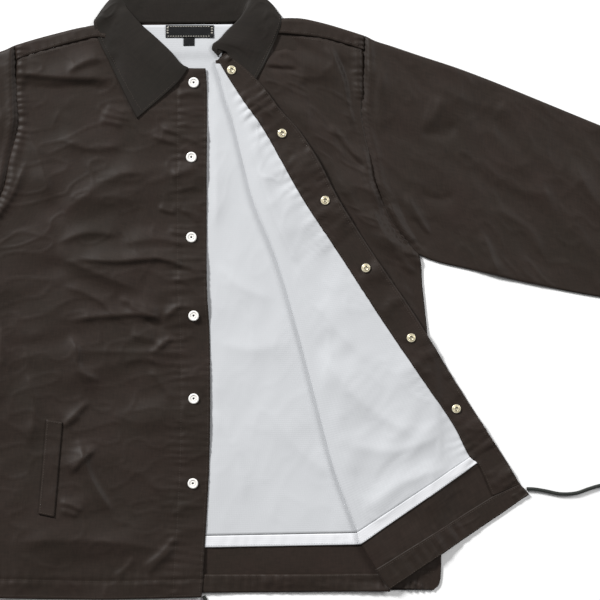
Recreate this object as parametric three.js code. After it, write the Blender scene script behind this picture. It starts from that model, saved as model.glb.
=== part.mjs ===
// Coach jacket laid flat, front up, with the wearer's left front folded open.
// Millimetres. x runs to the viewer's right from the centre back line, y up from the hem line
// and z up from the surface that the jacket lies on. Left and right are the wearer's.
import * as THREE from 'three';
import { mergeVertices } from 'three/addons/utils/BufferGeometryUtils.js';

// Driving sizes
const SHELL = 1.2;
const LINING = 1.0;
const TRIM = 1.0;
const GAP = 0.4;
const SEAM = 0.35;
const BACK_HEIGHT = SHELL / 2;
const FRONT_HEIGHT = 3.8;
const SIDE_HEIGHT = 2.25;
const FLAP_HEIGHT = 5.5;
const FOLD_HEIGHT = 8.0;
const NECK_RISE = 1.75;
const RIGHT_SHOULDER_DROP = 12;
const UNDERARM_Y = 437;
const SHOULDER_Y = 716;
const STUD_DIAMETER = 13.2;
const SOCKET_DIAMETER = 11.4;
const CORD_DIAMETER = 4.5;
const CORD_SIDES = 8;
const CORD_STEP = 11;
const KNOT_DIAMETER = 9;

// Shares of the way down the back, closer together where it rises over the collar's fall
const NECK_ROW_SHARES = [
  0, 0.02, 0.042, 0.064, 0.1, 0.16, 0.23, 0.3, 0.38, 0.46, 0.55, 0.64, 0.73, 0.82, 0.91, 1,
];

// Colours of the finishes
const SHELL_COLOUR = 0x3b342f;
const COLLAR_COLOUR = 0x322f2a;
const LINING_COLOUR = 0xcfd1d5;
const BAND_COLOUR = 0xf0f2f6;
const LABEL_COLOUR = 0x17171a;
const ENAMEL_COLOUR = 0xf2f0ec;
const SOCKET_COLOUR = 0xcfc3a0;
const CORD_COLOUR = 0x1c201d;

// Body outlines. The side runs from the shoulder down the armhole, then down the side to the hem.
const ARMHOLE = [
  { x: 221, y: 716 }, { x: 220, y: 653 }, { x: 218.5, y: 616 }, { x: 223.5, y: 587 },
  { x: 230, y: 560 }, { x: 235, y: 531 }, { x: 244, y: 508 }, { x: 255, y: 484 },
  { x: 267, y: 466 }, { x: 282, y: 448 }, { x: 291, y: 437 },
];
const SIDE = [
  { x: 291, y: 437 }, { x: 295, y: 399 }, { x: 299, y: 362 }, { x: 303, y: 320 },
  { x: 310, y: 200 }, { x: 317, y: 100 }, { x: 319, y: 57 }, { x: 316, y: 20 }, { x: 309, y: 13 },
];
const YOKE_LEFT_SECTIONS = [
  { contour: [88, 732], seam: [100, 719] }, { contour: [113, 737.5], seam: [114, 720] },
  { contour: [140, 738], seam: [140, 718] }, { contour: [171, 731.5], seam: [172, 713.5] },
  { contour: [190, 726], seam: [190, 709] }, { contour: [220.5, 716], seam: [220, 699.5] },
];
const YOKE_RIGHT_SECTIONS = [
  { contour: [-92, 727], seam: [-97, 712] }, { contour: [-112, 730], seam: [-118, 715.5] },
  { contour: [-140, 726], seam: [-142, 710.5] }, { contour: [-165, 720], seam: [-165, 704.5] },
  { contour: [-195, 712], seam: [-194, 696] }, { contour: [-220.5, 704], seam: [-219, 687] },
];
const BACK_TOP = [
  [-219.5, 691], [-194, 699], [-165, 706.5], [-140, 712], [-112, 714.5], [-98, 710], [-86, 718],
  [-66, 729.6], [0, 730], [54, 731], [74, 730], [84, 720], [96, 719.5], [113, 723.5], [140, 724],
  [171, 717.5], [190, 712], [219.5, 702],
];
const BACK_HEM = [[-309, 5], [-200, 6], [0, 9], [60, 10.5], [200, 11.5], [309, 13]];

// Right front: neck and shoulder edge from the armhole in, the buttoned edge and the hem
const RIGHT_NECK = [
  [-219, 686], [-194, 695], [-165, 703.5], [-142, 709.5], [-118, 714.5], [-98, 711], [-60, 697],
  [-30, 682], [-6, 675.5], [20, 674.5],
];
const RIGHT_EDGE = [
  [20, 674.5], [21.5, 657], [21.5, 508], [22, 394], [25, 343], [26, 254], [25, 182], [21, 99],
  [18.5, 60], [16.5, 23], [15, 4],
];
const RIGHT_HEM = [[-309, 13], [-250, 4], [-120, 1], [-60, 2], [15, 4]];
const LEFT_NECK = [
  [33, 684.4], [45, 697], [62, 710], [84, 717], [100, 718], [114, 719], [140, 717],
  [172, 712.5], [190, 708], [219.5, 698.5],
];
const LEFT_HEM = [[254, 15], [285, 13.5], [309, 13]];

// The flipped part of the left front, a row for each section from the neck to the hem:
// the fold line, the facing's inner seam and the buttoned edge.
const FLAP_SECTIONS = [
  { fold: [33, 684.4], facing: [36, 685.2], edge: [48, 691.5] },
  { fold: [34.5, 677], facing: [41, 675.5], edge: [72, 672.5] },
  { fold: [40, 661], facing: [53, 656], edge: [94, 650] },
  { fold: [47.5, 632.5], facing: [70, 630], edge: [114.5, 622.5] },
  { fold: [55.5, 609.5], facing: [91.5, 599.5], edge: [137, 598] },
  { fold: [70, 552.5], facing: [120.5, 548.5], edge: [162.5, 559] },
  { fold: [81.5, 508], facing: [143.5, 508], edge: [190.5, 505.5] },
  { fold: [113, 428], facing: [190.5, 437], edge: [233.5, 438] },
  { fold: [139.5, 338], facing: [247.5, 349.5], edge: [286, 360.5] },
  { fold: [161.5, 254], facing: [298.5, 274.5], edge: [334, 282] },
  { fold: [185.5, 164], facing: [336.5, 218.5], edge: [377, 214.5] },
  { fold: [213.5, 87.5], facing: [355.5, 181.5], edge: [397.5, 183] },
  { fold: [217.5, 72.5], facing: [364.5, 174], edge: [404, 172.5] },
  { fold: [236, 40.5], facing: [384.5, 132], edge: [419, 147.5] },
  { fold: [254, 15], facing: [396, 110.5], edge: [430.5, 134.5] },
];
const BAND_TOP_SECTION = 11;
const LINING_END_SECTION = 12;
const CHANNEL_SECTION = 13;
const ROWS_PER_SECTION = 2;
const LINING_COLUMNS = 8;
const FACING_COLUMNS = 3;
const ARC_COLUMNS = 3;

// Back lining where it shows between the fronts
const LINING_LEFT = [[-62, 727], [-47, 704], [-24, 678], [-6, 652], [0, 600], [0, 400], [-2, 81.5]];
const LINING_RIGHT = [
  [55, 728], [46, 708], [40, 690], [48, 660], [58, 632], [74, 595], [101, 508], [133, 428],
  [160, 338], [182, 254], [206, 164], [232, 86],
];
const LINING_TOP = [0, 728];
const BAND_DEPTH = 14;
const CHANNEL_STRIP = { left: [4.5, 32], right: [252, 33], drop: 21.5 };

// Sleeve outline from the armhole to the cuff, and the elastic cuff
const SLEEVE_TOP = [
  [222, 716], [234, 710], [254, 703.5], [291, 691], [338, 675.5], [382, 659], [444.5, 633.5],
  [560, 586], [680, 536], [770, 497],
];
const SLEEVE_UNDER = [
  [292, 437.5], [310, 430.5], [358, 419], [407, 407], [444.5, 399], [520, 385], [600, 374],
  [670, 366], [735, 363],
];
const CUFF = { top: [771, 491], under: [738, 371], length: 28, gathers: 8, ripple: 0.9 };

// The collar, a row for each section from the right front round the back neck to the left front,
// whose end is tucked under the flipped front. Each point is x, y and height.
const COLLAR_KEYS = ['seam', 'roll', 'fall', 'turn', 'edge'];
const COLLAR_SECTIONS = [
  [[-2, 675.5, 5.8], [-3, 673.5, 6.7], [-13, 658.5, 6.6], [-35, 638, 5.9], [-67, 611, 5.7]],
  [[-14, 680, 5.8], [-12.5, 681.5, 7.1], [-25, 669, 7.6], [-46, 648, 6.1], [-73, 622, 5.7]],
  [[-31, 686, 5.6], [-24, 695, 7.2], [-38, 682, 8.3], [-58, 661, 6.2], [-82, 640, 5.7]],
  [[-54, 703, 5.6], [-44, 714, 7.3], [-58, 700, 8.8], [-78, 684, 6.5], [-101, 681, 5.7]],
  [[-70, 717, 5.6], [-62, 730, 7.5], [-76, 721, 8.8], [-96, 710, 6.6], [-114, 707, 5.7]],
  [[-76, 729, 5.2], [-75, 745, 7.5], [-90, 740, 8.8], [-107, 729, 6.7], [-120, 724, 5.8]],
  [[-76, 732, 4.2], [-80, 751, 7.5], [-96, 746, 8.4], [-112, 738, 6.7], [-121.5, 733, 5.4]],
  [[-74, 732.6, 3.4], [-84, 757, 7.5], [-102, 752, 7.4], [-114, 744, 5], [-119, 738, 3]],
  [[-70, 732.2, 2.8], [-87, 763, 7.3], [-104, 757, 5.6], [-110, 750, 2.4], [-110, 739, 0.85]],
  [[-64, 731.6, 2.5], [-82, 769, 6.4], [-95, 766, 3.6], [-97, 759, 1.3], [-99, 726, 0.85]],
  [[-52, 731.4, 2.3], [-62, 771, 5.2], [-66, 772, 2.6], [-68, 760, 0.9], [-76, 713, 0.85]],
  [[0, 731.6, 2.3], [0, 769, 4.6], [0, 771, 2.2], [0, 758, 0.9], [0, 711, 0.85]],
  [[52, 732.6, 2.3], [60, 770, 5.2], [64, 771, 2.6], [66, 759, 0.9], [74, 713, 0.85]],
  [[60, 733.4, 2.7], [79, 767, 6.4], [93, 765, 3.6], [97, 758, 1.3], [98, 728, 0.85]],
  [[64, 733.2, 3.2], [76, 757, 7.4], [99, 757, 6.0], [108, 751, 2.6], [109, 743, 0.85]],
  [[67, 730, 4.4], [70, 747, 7.8], [94, 748, 8.2], [109, 746, 5.6], [115, 742, 3.2]],
  [[67, 724, 5.3], [62, 736, 7.8], [88, 735, 8.6], [106, 734, 6.8], [116, 734, 5.4]],
  [[60, 714, 5.6], [48, 722.5, 7.5], [73, 718, 8.6], [95, 714, 6.8], [111, 716, 5.8]],
  [[51, 704, 5.6], [38, 711, 7.5], [62, 703, 8.6], [84, 696, 6.8], [104, 699, 5.8]],
  [[42, 696, 5.6], [30, 705, 7.5], [58, 699, 7.4], [77, 684, 5.8], [95, 680, 5.6]],
  [[36.5, 690.5, 5.7], [28.5, 699, 7.5], [52, 693, 6.2], [68, 664, 5.6], [80, 652, 5.5]],
  [[36, 688.5, 5.9], [36, 700, 7.5], [46, 696, 6.2], [57, 655, 5.6], [66, 618, 5.5]],
];
const COLLAR_ROWS_PER_SECTION = 2;
const COLLAR_COLUMNS = [0, 0.5, 1, 1.34, 1.67, 2, 2.5, 3, 3.5, 4];

// Largest folds in the cloth that shows: a ridge from one end to the other
const RIGHT_FRONT_FOLDS = [
  { from: [-215, 662], to: [-112, 656], height: 3.6, width: 13 },
  { from: [-160, 428], to: [-30, 434], height: 3.4, width: 11 },
  { from: [-150, 357], to: [-45, 362], height: 3.6, width: 11 },
  { from: [-153, 340], to: [-116, 279], height: 3.2, width: 12 },
  { from: [-124, 252], to: [-156, 226], height: 3.0, width: 11 },
  { from: [-120, 194], to: [-154, 162], height: 3.4, width: 12 },
  { from: [-140, 205], to: [-97, 109], height: 3.2, width: 12 },
  { from: [-190, 66], to: [-40, 62], height: 2.6, width: 13 },
  { from: [-255, 330], to: [-215, 210], height: 2.8, width: 14 },
];
const LEFT_FRONT_FOLDS = [
  { from: [158, 690], to: [192, 606], height: 3.6, width: 14 },
  { from: [212, 668], to: [214, 612], height: 2.6, width: 10 },
  { from: [182, 598], to: [224, 548], height: 3.0, width: 12 },
];
const SLEEVE_FOLDS = [
  { from: [252, 560], to: [306, 452], height: 3.0, width: 12 },
  { from: [345, 606], to: [288, 594], height: 2.6, width: 14 },
  { from: [374, 458], to: [392, 414], height: 2.6, width: 11 },
  { from: [300, 640], to: [470, 590], height: 2.2, width: 16 },
  { from: [430, 450], to: [560, 440], height: 2.4, width: 14 },
  { from: [520, 560], to: [660, 450], height: 2.6, width: 15 },
  { from: [620, 500], to: [735, 440], height: 2.4, width: 12 },
];

// Fasteners: the caps on the right front and the sockets on the left facing
const STUDS = [[5, 656.5], [2, 562], [2, 460.5], [5, 361], [5, 256], [4, 148.5]];
const SOCKETS = [[53, 672], [117, 592], [171.5, 507], [223, 421.5], [280.5, 333], [338, 243]];

// Labels, the pocket welt and the drawcord ends
const NECK_LABEL = { x: 0, top: 727.5, width: 61, depth: 15 };
const SIZE_TAG = { x: -1, width: 14, depth: 9 };
const WELT = { top: [-166, 228], foot: [-176, 108], width: 22, slope: 2, lift: 0.9 };
const CORD_RIGHT = [
  [17.5, 5.5], [20, 0], [25, -8], [33, -20], [40, -36], [42, -54], [38, -74], [33, -94], [35, -112],
];
const CORD_LEFT = [
  [427.4, 141.4], [437, 141], [452, 138.5], [470, 135], [490, 136], [508, 142], [524, 146],
  [542, 144], [556, 139],
];

const smooth = (t) => {
  const s = Math.min(Math.max(t, 0), 1);
  return s * s * (3 - 2 * s);
};
const mix = (a, b, t) => a + (b - a) * t;
const curve = (points) => new THREE.CatmullRomCurve3(
  points.map(([x, y]) => new THREE.Vector3(x, y, 0)), false, 'centripetal');

// The wearer's right side mirrors the left, with a lower shoulder as it lies
const mirrored = ([x, y]) => {
  const share = Math.min(Math.max((y - UNDERARM_Y) / (SHOULDER_Y - UNDERARM_Y), 0), 1);
  return [-x, y - RIGHT_SHOULDER_DROP * share];
};

const ARMHOLE_LEFT = ARMHOLE.map(({ x, y }) => [x, y]);
const ARMHOLE_RIGHT = ARMHOLE_LEFT.map(mirrored);
const SIDE_LEFT = SIDE.map(({ x, y }) => [x, y]);

// Armhole and side as one outline, less the shoulder's part that the yoke takes
const bodySide = (mirror, top) => {
  const below = [...ARMHOLE_LEFT, ...SIDE_LEFT.slice(1)].map((p) => (mirror ? mirrored(p) : p));
  return [top, ...below.filter(([, y]) => y < top[1] - 8)];
};

// Distance of the side outline from the centre line at a height below the underarm
const sideAt = (y) => {
  const last = SIDE.length - 1;
  for (let i = 0; i < last; i += 1) {
    const [a, b] = [SIDE[i], SIDE[i + 1]];
    if (y <= a.y && y >= b.y) return mix(a.x, b.x, (a.y - y) / (a.y - b.y));
  }
  return y > SIDE[0].y ? SIDE[0].x : SIDE[last].x;
};

// Distance of the fold line from the centre line
const foldAt = (y) => {
  const next = FLAP_SECTIONS.findIndex((s) => s.fold[1] < y);
  const [a, b] = [FLAP_SECTIONS[Math.max(next - 1, 0)].fold, FLAP_SECTIONS[next].fold];
  return mix(a[0], b[0], (a[1] - y) / Math.max(a[1] - b[1], 1));
};

// How far the cloth lies above its resting height because of the folds
const foldRise = (folds, x, y) => {
  let rise = 0;
  for (const { from, to, height, width } of folds) {
    const [dx, dy] = [to[0] - from[0], to[1] - from[1]];
    const along = ((x - from[0]) * dx + (y - from[1]) * dy) / (dx * dx + dy * dy);
    const held = Math.min(Math.max(along, 0), 1);
    const away = Math.hypot(x - from[0] - held * dx, y - from[1] - held * dy);
    const fade = Math.sin(Math.PI * (0.12 + 0.76 * held));
    rise = Math.max(rise, height * fade * Math.exp(-((away / width) ** 2)));
  }
  return rise;
};

const neckRise = (x, y) => NECK_RISE * smooth((y - 684) / 14) * smooth((152 - Math.abs(x)) / 28);
const backHeight = (x, y) => BACK_HEIGHT + neckRise(x, y);
const frontHeight = (folds) => (x, y) => {
  const inside = y < UNDERARM_Y ? (sideAt(y) - Math.abs(x)) / 34 : 1;
  return mix(SIDE_HEIGHT, FRONT_HEIGHT, smooth(inside)) + foldRise(folds, x, y);
};
const rightFrontHeight = frontHeight(RIGHT_FRONT_FOLDS);
const leftFrontHeight = frontHeight(LEFT_FRONT_FOLDS);

// The flipped front lies highest at its fold and over the collar's end, and past the side of the
// body it comes down onto the surface
const DROP_START = 10;
const DROP_RUN = 40;
const FOLD_RUN = 45;
const COLLAR_RISE = 2.1;
const COLLAR_TIP_Y = COLLAR_SECTIONS.at(-1).at(-1)[1];
const flapHeight = (x, y, fromFold) => {
  const outside = y < UNDERARM_Y ? x - sideAt(y) : -DROP_RUN;
  const rest = mix(FLAP_HEIGHT, SHELL / 2, smooth((outside + DROP_START) / DROP_RUN));
  const overFold = (FOLD_HEIGHT - FLAP_HEIGHT) * (1 - smooth(fromFold / FOLD_RUN));
  const overCollar = COLLAR_RISE * smooth((y - COLLAR_TIP_Y + FOLD_RUN) / FOLD_RUN);
  return rest + Math.max(overFold, overCollar);
};

// Even columns and rows between four border curves, each running left to right or top to bottom
const evenly = (count) => Array.from({ length: count + 1 }, (_, i) => i / count);
const panel = ({ top, bottom, left, right, columns, rowShares, height }) => {
  const borders = [top, bottom, left, right].map(curve);
  const corners = borders.slice(0, 2).map(({ points }) => [points[0], points.at(-1)]);
  const grid = [];
  for (const v of rowShares) {
    const [l, q] = [borders[2].getPointAt(v), borders[3].getPointAt(v)];
    const row = [];
    for (let c = 0; c <= columns; c += 1) {
      const u = c / columns;
      const [t, b] = [borders[0].getPointAt(u), borders[1].getPointAt(u)];
      const blend = (k) => {
        const [above, below] = corners.map(([first, last]) => mix(first[k], last[k], u));
        return mix(t[k], b[k], v) + mix(l[k], q[k], u) - mix(above, below, v);
      };
      const [x, y] = [blend('x'), blend('y')];
      row.push(new THREE.Vector3(x, y, height(x, y)));
    }
    grid.push(row);
  }
  return grid;
};

const gridNormals = (grid, wrap) => grid.map((row, r) => row.map((_, c) => {
  const n = row.length;
  const before = wrap ? (c + n - 1) % n : Math.max(c - 1, 0);
  const after = wrap ? (c + 1) % n : Math.min(c + 1, n - 1);
  const across = row[after].clone().sub(row[before]);
  const down = grid[Math.min(r + 1, grid.length - 1)][c].clone().sub(grid[Math.max(r - 1, 0)][c]);
  return across.cross(down).normalize();
}));

const lifted = (grid, distance) => {
  const normals = gridNormals(grid, false);
  return grid.map((row, r) => row.map((p, c) => p.clone().addScaledVector(normals[r][c], distance)));
};

// Cut the given borders back by a seam gap, along the grid
const trimmed = (grid, sides, amount = SEAM) => {
  const out = grid.map((row) => row.map((p) => p.clone()));
  const pull = (p, toward) => p.add(toward.clone().sub(p).setLength(amount));
  const last = grid.length - 1;
  if (sides.includes('top')) out[0].forEach((p, c) => pull(p, grid[1][c]));
  if (sides.includes('bottom')) out[last].forEach((p, c) => pull(p, grid[last - 1][c]));
  for (const row of out) {
    if (sides.includes('left')) pull(row[0], row[1]);
    if (sides.includes('right')) pull(row.at(-1), row.at(-2));
  }
  return out;
};

// A wall of even thickness about a grid of points, open or joined round into a tube
const wall = (grid, thickness, wrap = false) => {
  const normals = gridNormals(grid, wrap);
  const [rows, columns] = [grid.length, grid[0].length];
  const positions = [];
  for (const side of [0.5, -0.5]) {
    grid.forEach((row, r) => row.forEach((p, c) => {
      const moved = p.clone().addScaledVector(normals[r][c], side * thickness);
      positions.push(moved.x, moved.y, Math.max(moved.z, 0));
    }));
  }
  const index = [];
  const at = (side, r, c) => side * rows * columns + r * columns + (c % columns);
  const quad = (a, b, c, d) => index.push(a, b, c, a, c, d);
  const spans = wrap ? columns : columns - 1;
  for (let r = 0; r < rows - 1; r += 1) {
    for (let c = 0; c < spans; c += 1) {
      quad(at(0, r, c), at(0, r, c + 1), at(0, r + 1, c + 1), at(0, r + 1, c));
      quad(at(1, r, c), at(1, r + 1, c), at(1, r + 1, c + 1), at(1, r, c + 1));
    }
  }
  for (let c = 0; c < spans; c += 1) {
    quad(at(0, 0, c), at(1, 0, c), at(1, 0, c + 1), at(0, 0, c + 1));
    quad(at(0, rows - 1, c + 1), at(1, rows - 1, c + 1), at(1, rows - 1, c), at(0, rows - 1, c));
  }
  if (!wrap) {
    for (let r = 0; r < rows - 1; r += 1) {
      quad(at(0, r + 1, 0), at(1, r + 1, 0), at(1, r, 0), at(0, r, 0));
      const [c, next] = [columns - 1, r + 1];
      quad(at(0, r, c), at(1, r, c), at(1, next, c), at(0, next, c));
    }
  }
  const geometry = new THREE.BufferGeometry();
  geometry.setAttribute('position', new THREE.Float32BufferAttribute(positions, 3));
  geometry.setIndex(index);
  return facedOut(geometry);
};

// A closed solid from a geometry whose corners are doubled for shading
const welded = (geometry) => {
  geometry.deleteAttribute('normal');
  geometry.deleteAttribute('uv');
  return mergeVertices(geometry, 1e-3);
};

const facedOut = (geometry) => {
  const [position, index] = [geometry.getAttribute('position'), geometry.getIndex()];
  const corner = (i) => new THREE.Vector3().fromBufferAttribute(position, index.getX(i));
  let volume = 0;
  for (let i = 0; i < index.count; i += 3) {
    volume += corner(i).dot(corner(i + 1).cross(corner(i + 2)));
  }
  if (volume < 0) {
    for (let i = 0; i < index.count; i += 3) {
      const keep = index.getX(i);
      index.setX(i, index.getX(i + 1));
      index.setX(i + 1, keep);
    }
  }
  geometry.computeVertexNormals();
  return geometry;
};

const cloth = (color, roughness) => new THREE.MeshStandardMaterial({ color, roughness, metalness: 0 });
const jacket = new THREE.Group();
const garment = new THREE.Group();
jacket.add(garment);
const add = (name, geometry, material) => {
  const mesh = new THREE.Mesh(geometry, material);
  mesh.name = name;
  garment.add(mesh);
  return mesh;
};
const shellCloth = () => cloth(SHELL_COLOUR, 0.5);

// Back panel
add('back', wall(panel({
  top: BACK_TOP,
  bottom: BACK_HEM,
  left: bodySide(true, BACK_TOP[0]),
  right: bodySide(false, BACK_TOP.at(-1)),
  columns: 12,
  rowShares: NECK_ROW_SHARES,
  height: backHeight,
}), SHELL), shellCloth());

// Shoulder yokes: from under the shoulder round its edge to the seam on the front
const YOKE_LIP = 7.5;
const YOKE_ROUND = 1.8;
const yokeGrid = (sections) => {
  const contour = curve(sections.map((s) => s.contour));
  const seam = curve(sections.map((s) => s.seam));
  const steps = 12;
  const grid = [];
  for (let i = 0; i <= steps; i += 1) {
    const [c, s] = [contour.getPointAt(i / steps), seam.getPointAt(i / steps)];
    const inward = s.clone().sub(c).normalize();
    const low = backHeight(c.x, c.y);
    const at = (distance, z) => c.clone().addScaledVector(inward, distance).setZ(z);
    grid.push([
      at(YOKE_LIP, low), at(YOKE_ROUND, low), at(SHELL / 2, mix(low, FRONT_HEIGHT, 0.5)),
      at(YOKE_ROUND, FRONT_HEIGHT), at(c.distanceTo(s) / 2, FRONT_HEIGHT),
      s.clone().setZ(FRONT_HEIGHT),
    ]);
  }
  return grid;
};
add('yoke_left', wall(yokeGrid(YOKE_LEFT_SECTIONS), SHELL), shellCloth());
add('yoke_right', wall(yokeGrid(YOKE_RIGHT_SECTIONS), SHELL), shellCloth());

// Right front, outside up
const rightFront = panel({
  top: RIGHT_NECK,
  bottom: RIGHT_HEM,
  left: bodySide(true, RIGHT_NECK[0]),
  right: RIGHT_EDGE,
  columns: 17,
  rowShares: evenly(32),
  height: rightFrontHeight,
});
add('front_right', wall(rightFront, SHELL), shellCloth());

// Left front: the part that lies outside up, the fold, and the flipped part with its inside up
const flapColumn = (key) => curve(FLAP_SECTIONS.map((s) => s[key]));
const flapCurves = { fold: flapColumn('fold'), facing: flapColumn('facing'), edge: flapColumn('edge') };
const flapRows = (FLAP_SECTIONS.length - 1) * ROWS_PER_SECTION;
const flapPoint = (key, row) => flapCurves[key].getPoint(row / flapRows);
// The points of the part below stop short of the fold, where its round begins
const FOLD_CLEAR = 3;
const FOLD_START = 1;
const MOST_OF_ROUND = 0.4;
const underPanel = panel({
  top: LEFT_NECK,
  bottom: LEFT_HEM,
  left: FLAP_SECTIONS.map((s) => s.fold),
  right: bodySide(false, LEFT_NECK.at(-1)),
  columns: 14,
  rowShares: evenly(flapRows),
  height: leftFrontHeight,
});
const flap = [];
for (let r = 0; r <= flapRows; r += 1) {
  const [fold, facing, edge] = ['fold', 'facing', 'edge'].map((key) => flapPoint(key, r));
  const under = underPanel[r].slice(1).reverse();
  const low = leftFrontHeight(fold.x, fold.y);
  const radius = (FOLD_HEIGHT - low) / 2;
  const row = under.filter((p) => p.x > fold.x + radius + FOLD_CLEAR);
  while (row.length < under.length) row.push(row.at(-1).clone());
  row[under.length - 1].set(fold.x + radius + FOLD_START, fold.y, low);
  const inward = facing.clone().sub(fold).normalize();
  for (let a = 1; a <= ARC_COLUMNS; a += 1) {
    const turn = Math.PI * (a / (ARC_COLUMNS + 1));
    const round = fold.clone().addScaledVector(inward, radius * (1 - Math.sin(turn)));
    row.push(round.setZ(low + radius * (1 - Math.cos(turn))));
  }
  const span = Math.max(facing.distanceTo(fold), 1);
  for (let c = 0; c <= LINING_COLUMNS; c += 1) {
    const share = mix(Math.min(radius / span, MOST_OF_ROUND), 1, c / LINING_COLUMNS);
    const p = fold.clone().lerp(facing, share);
    row.push(p.setZ(flapHeight(p.x, p.y, span * share)));
  }
  for (let c = 1; c <= FACING_COLUMNS; c += 1) {
    const p = facing.clone().lerp(edge, c / FACING_COLUMNS);
    row.push(p.setZ(flapHeight(p.x, p.y, p.distanceTo(fold))));
  }
  flap.push(row);
}
add('front_left', wall(flap, SHELL), shellCloth());

// What lies on the flipped front is made from its points, moved out
const arcStart = underPanel[0].length - 1;
const liningStart = arcStart + ARC_COLUMNS;
const facingStart = liningStart + LINING_COLUMNS;
const part = (grid, r0, r1, c0, c1) => grid.slice(r0, r1 + 1).map((row) => row.slice(c0, c1 + 1));
const rowOf = (section) => section * ROWS_PER_SECTION;
const upward = (grid, distance) => {
  const normal = gridNormals(grid, false)[Math.floor(grid.length / 2)].at(-1);
  return lifted(grid, normal.z > 0 ? distance : -distance);
};
const onFlap = (r0, r1, c0, c1, thickness, sides) => {
  const above = upward(flap, SHELL / 2 + GAP + thickness / 2);
  return wall(trimmed(part(above, r0, r1, c0, c1), sides), thickness);
};
const liningCloth = () => cloth(LINING_COLOUR, 0.9);
const bandCloth = () => cloth(BAND_COLOUR, 0.8);
add('front_lining', onFlap(0, rowOf(BAND_TOP_SECTION), arcStart + 1, facingStart, LINING,
  ['bottom', 'right']), liningCloth());
add('front_lining_hem', onFlap(rowOf(BAND_TOP_SECTION), rowOf(LINING_END_SECTION), arcStart + 1,
  facingStart, LINING, ['right']), bandCloth());
add('facing_left', onFlap(0, rowOf(CHANNEL_SECTION), facingStart, facingStart + FACING_COLUMNS,
  TRIM, ['bottom']), shellCloth());
add('front_hem_channel', onFlap(rowOf(CHANNEL_SECTION), flapRows, arcStart + 1,
  facingStart + FACING_COLUMNS, TRIM, []), shellCloth());

// Lining of the back, its white hem band and the channel along the shell's hem
const overBack = (top, bottom, left, right, columns, rowShares, thickness) => wall(panel({
  top,
  bottom,
  left,
  right,
  columns,
  rowShares,
  height: (x, y) => backHeight(x, y) + SHELL / 2 + GAP + thickness / 2,
}), thickness);
const [liningFootLeft, liningFootRight] = [LINING_LEFT.at(-1), LINING_RIGHT.at(-1)];
const below = ([x, y], drop) => [x, y - drop];
const bandTop = [below(liningFootLeft, SEAM), below(liningFootRight, SEAM)];
const bandFoot = bandTop.map((p) => below(p, BAND_DEPTH));
add('back_lining', overBack([LINING_LEFT[0], LINING_TOP, LINING_RIGHT[0]],
  [liningFootLeft, liningFootRight], LINING_LEFT, LINING_RIGHT, 6, NECK_ROW_SHARES, LINING),
liningCloth());
add('back_lining_hem', overBack(bandTop, bandFoot, [bandTop[0], bandFoot[0]],
  [bandTop[1], bandFoot[1]], 6, evenly(1), LINING), bandCloth());
const channelTop = [CHANNEL_STRIP.left, CHANNEL_STRIP.right];
const channelFoot = channelTop.map((p) => below(p, CHANNEL_STRIP.drop));
add('back_hem_channel', overBack(channelTop, channelFoot, [channelTop[0], channelFoot[0]],
  [channelTop[1], channelFoot[1]], 6, evenly(2), TRIM), shellCloth());

// Sleeves: flattened tubes, flat below and rounded along both edges
const SLEEVE_STATIONS = 14;
const SLEEVE_SEAM = 2.6;
const SLEEVE_EDGE_SEAM = 0.6;
const SLEEVE_SPREAD = [0.012, 0.1, 0.23, 0.36, 0.5, 0.64, 0.77, 0.9, 0.988];
const CUFF_STATIONS = 2;
const CUFF_ROUND = 0.012;
const tubeGrid = ({ over, under, height, low }) => {
  const grid = [];
  over.forEach((row, r) => {
    const [first, last] = [row[0], row.at(-1)];
    const middle = (p) => p.clone().setZ(mix(low, height(p.x, p.y), 0.5));
    const ring = [middle(first)];
    row.slice(1, -1).forEach((p) => ring.push(p.clone().setZ(height(p.x, p.y))));
    ring.push(middle(last));
    under[r].slice(1, -1).reverse().forEach((p) => ring.push(p.clone().setZ(low)));
    grid.push(ring);
  });
  return grid;
};
const sleeveOutline = (mirror) => {
  const place = (points, shift) => points.map(([x, y]) => {
    const moved = [x + shift, y];
    return mirror ? mirrored(moved) : moved;
  });
  const armhole = place(ARMHOLE_LEFT, SLEEVE_SEAM);
  const [top, under] = [SLEEVE_TOP, SLEEVE_UNDER].map((points) => place(points, SLEEVE_EDGE_SEAM));
  return { armhole: [top[0], ...armhole.slice(1, -1), under[0]], top, under };
};
// Points along the sleeve and across it, spaced by the given shares
const sleevePoints = ({ armhole, top, under }) => {
  const [a, t, u] = [curve(armhole), curve(top), curve(under)];
  const shares = [0, ...SLEEVE_SPREAD, 1];
  const rows = [];
  for (let i = 0; i <= SLEEVE_STATIONS; i += 1) {
    const along = i / SLEEVE_STATIONS;
    const [over, beneath] = [t.getPointAt(along), u.getPointAt(along)];
    rows.push(shares.map((share) => {
      const straight = over.clone().lerp(beneath, share);
      const bow = a.getPointAt(share).sub(t.getPointAt(0).lerp(u.getPointAt(0), share));
      return straight.addScaledVector(bow, (1 - along) ** 2);
    }));
  }
  return rows;
};
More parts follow.
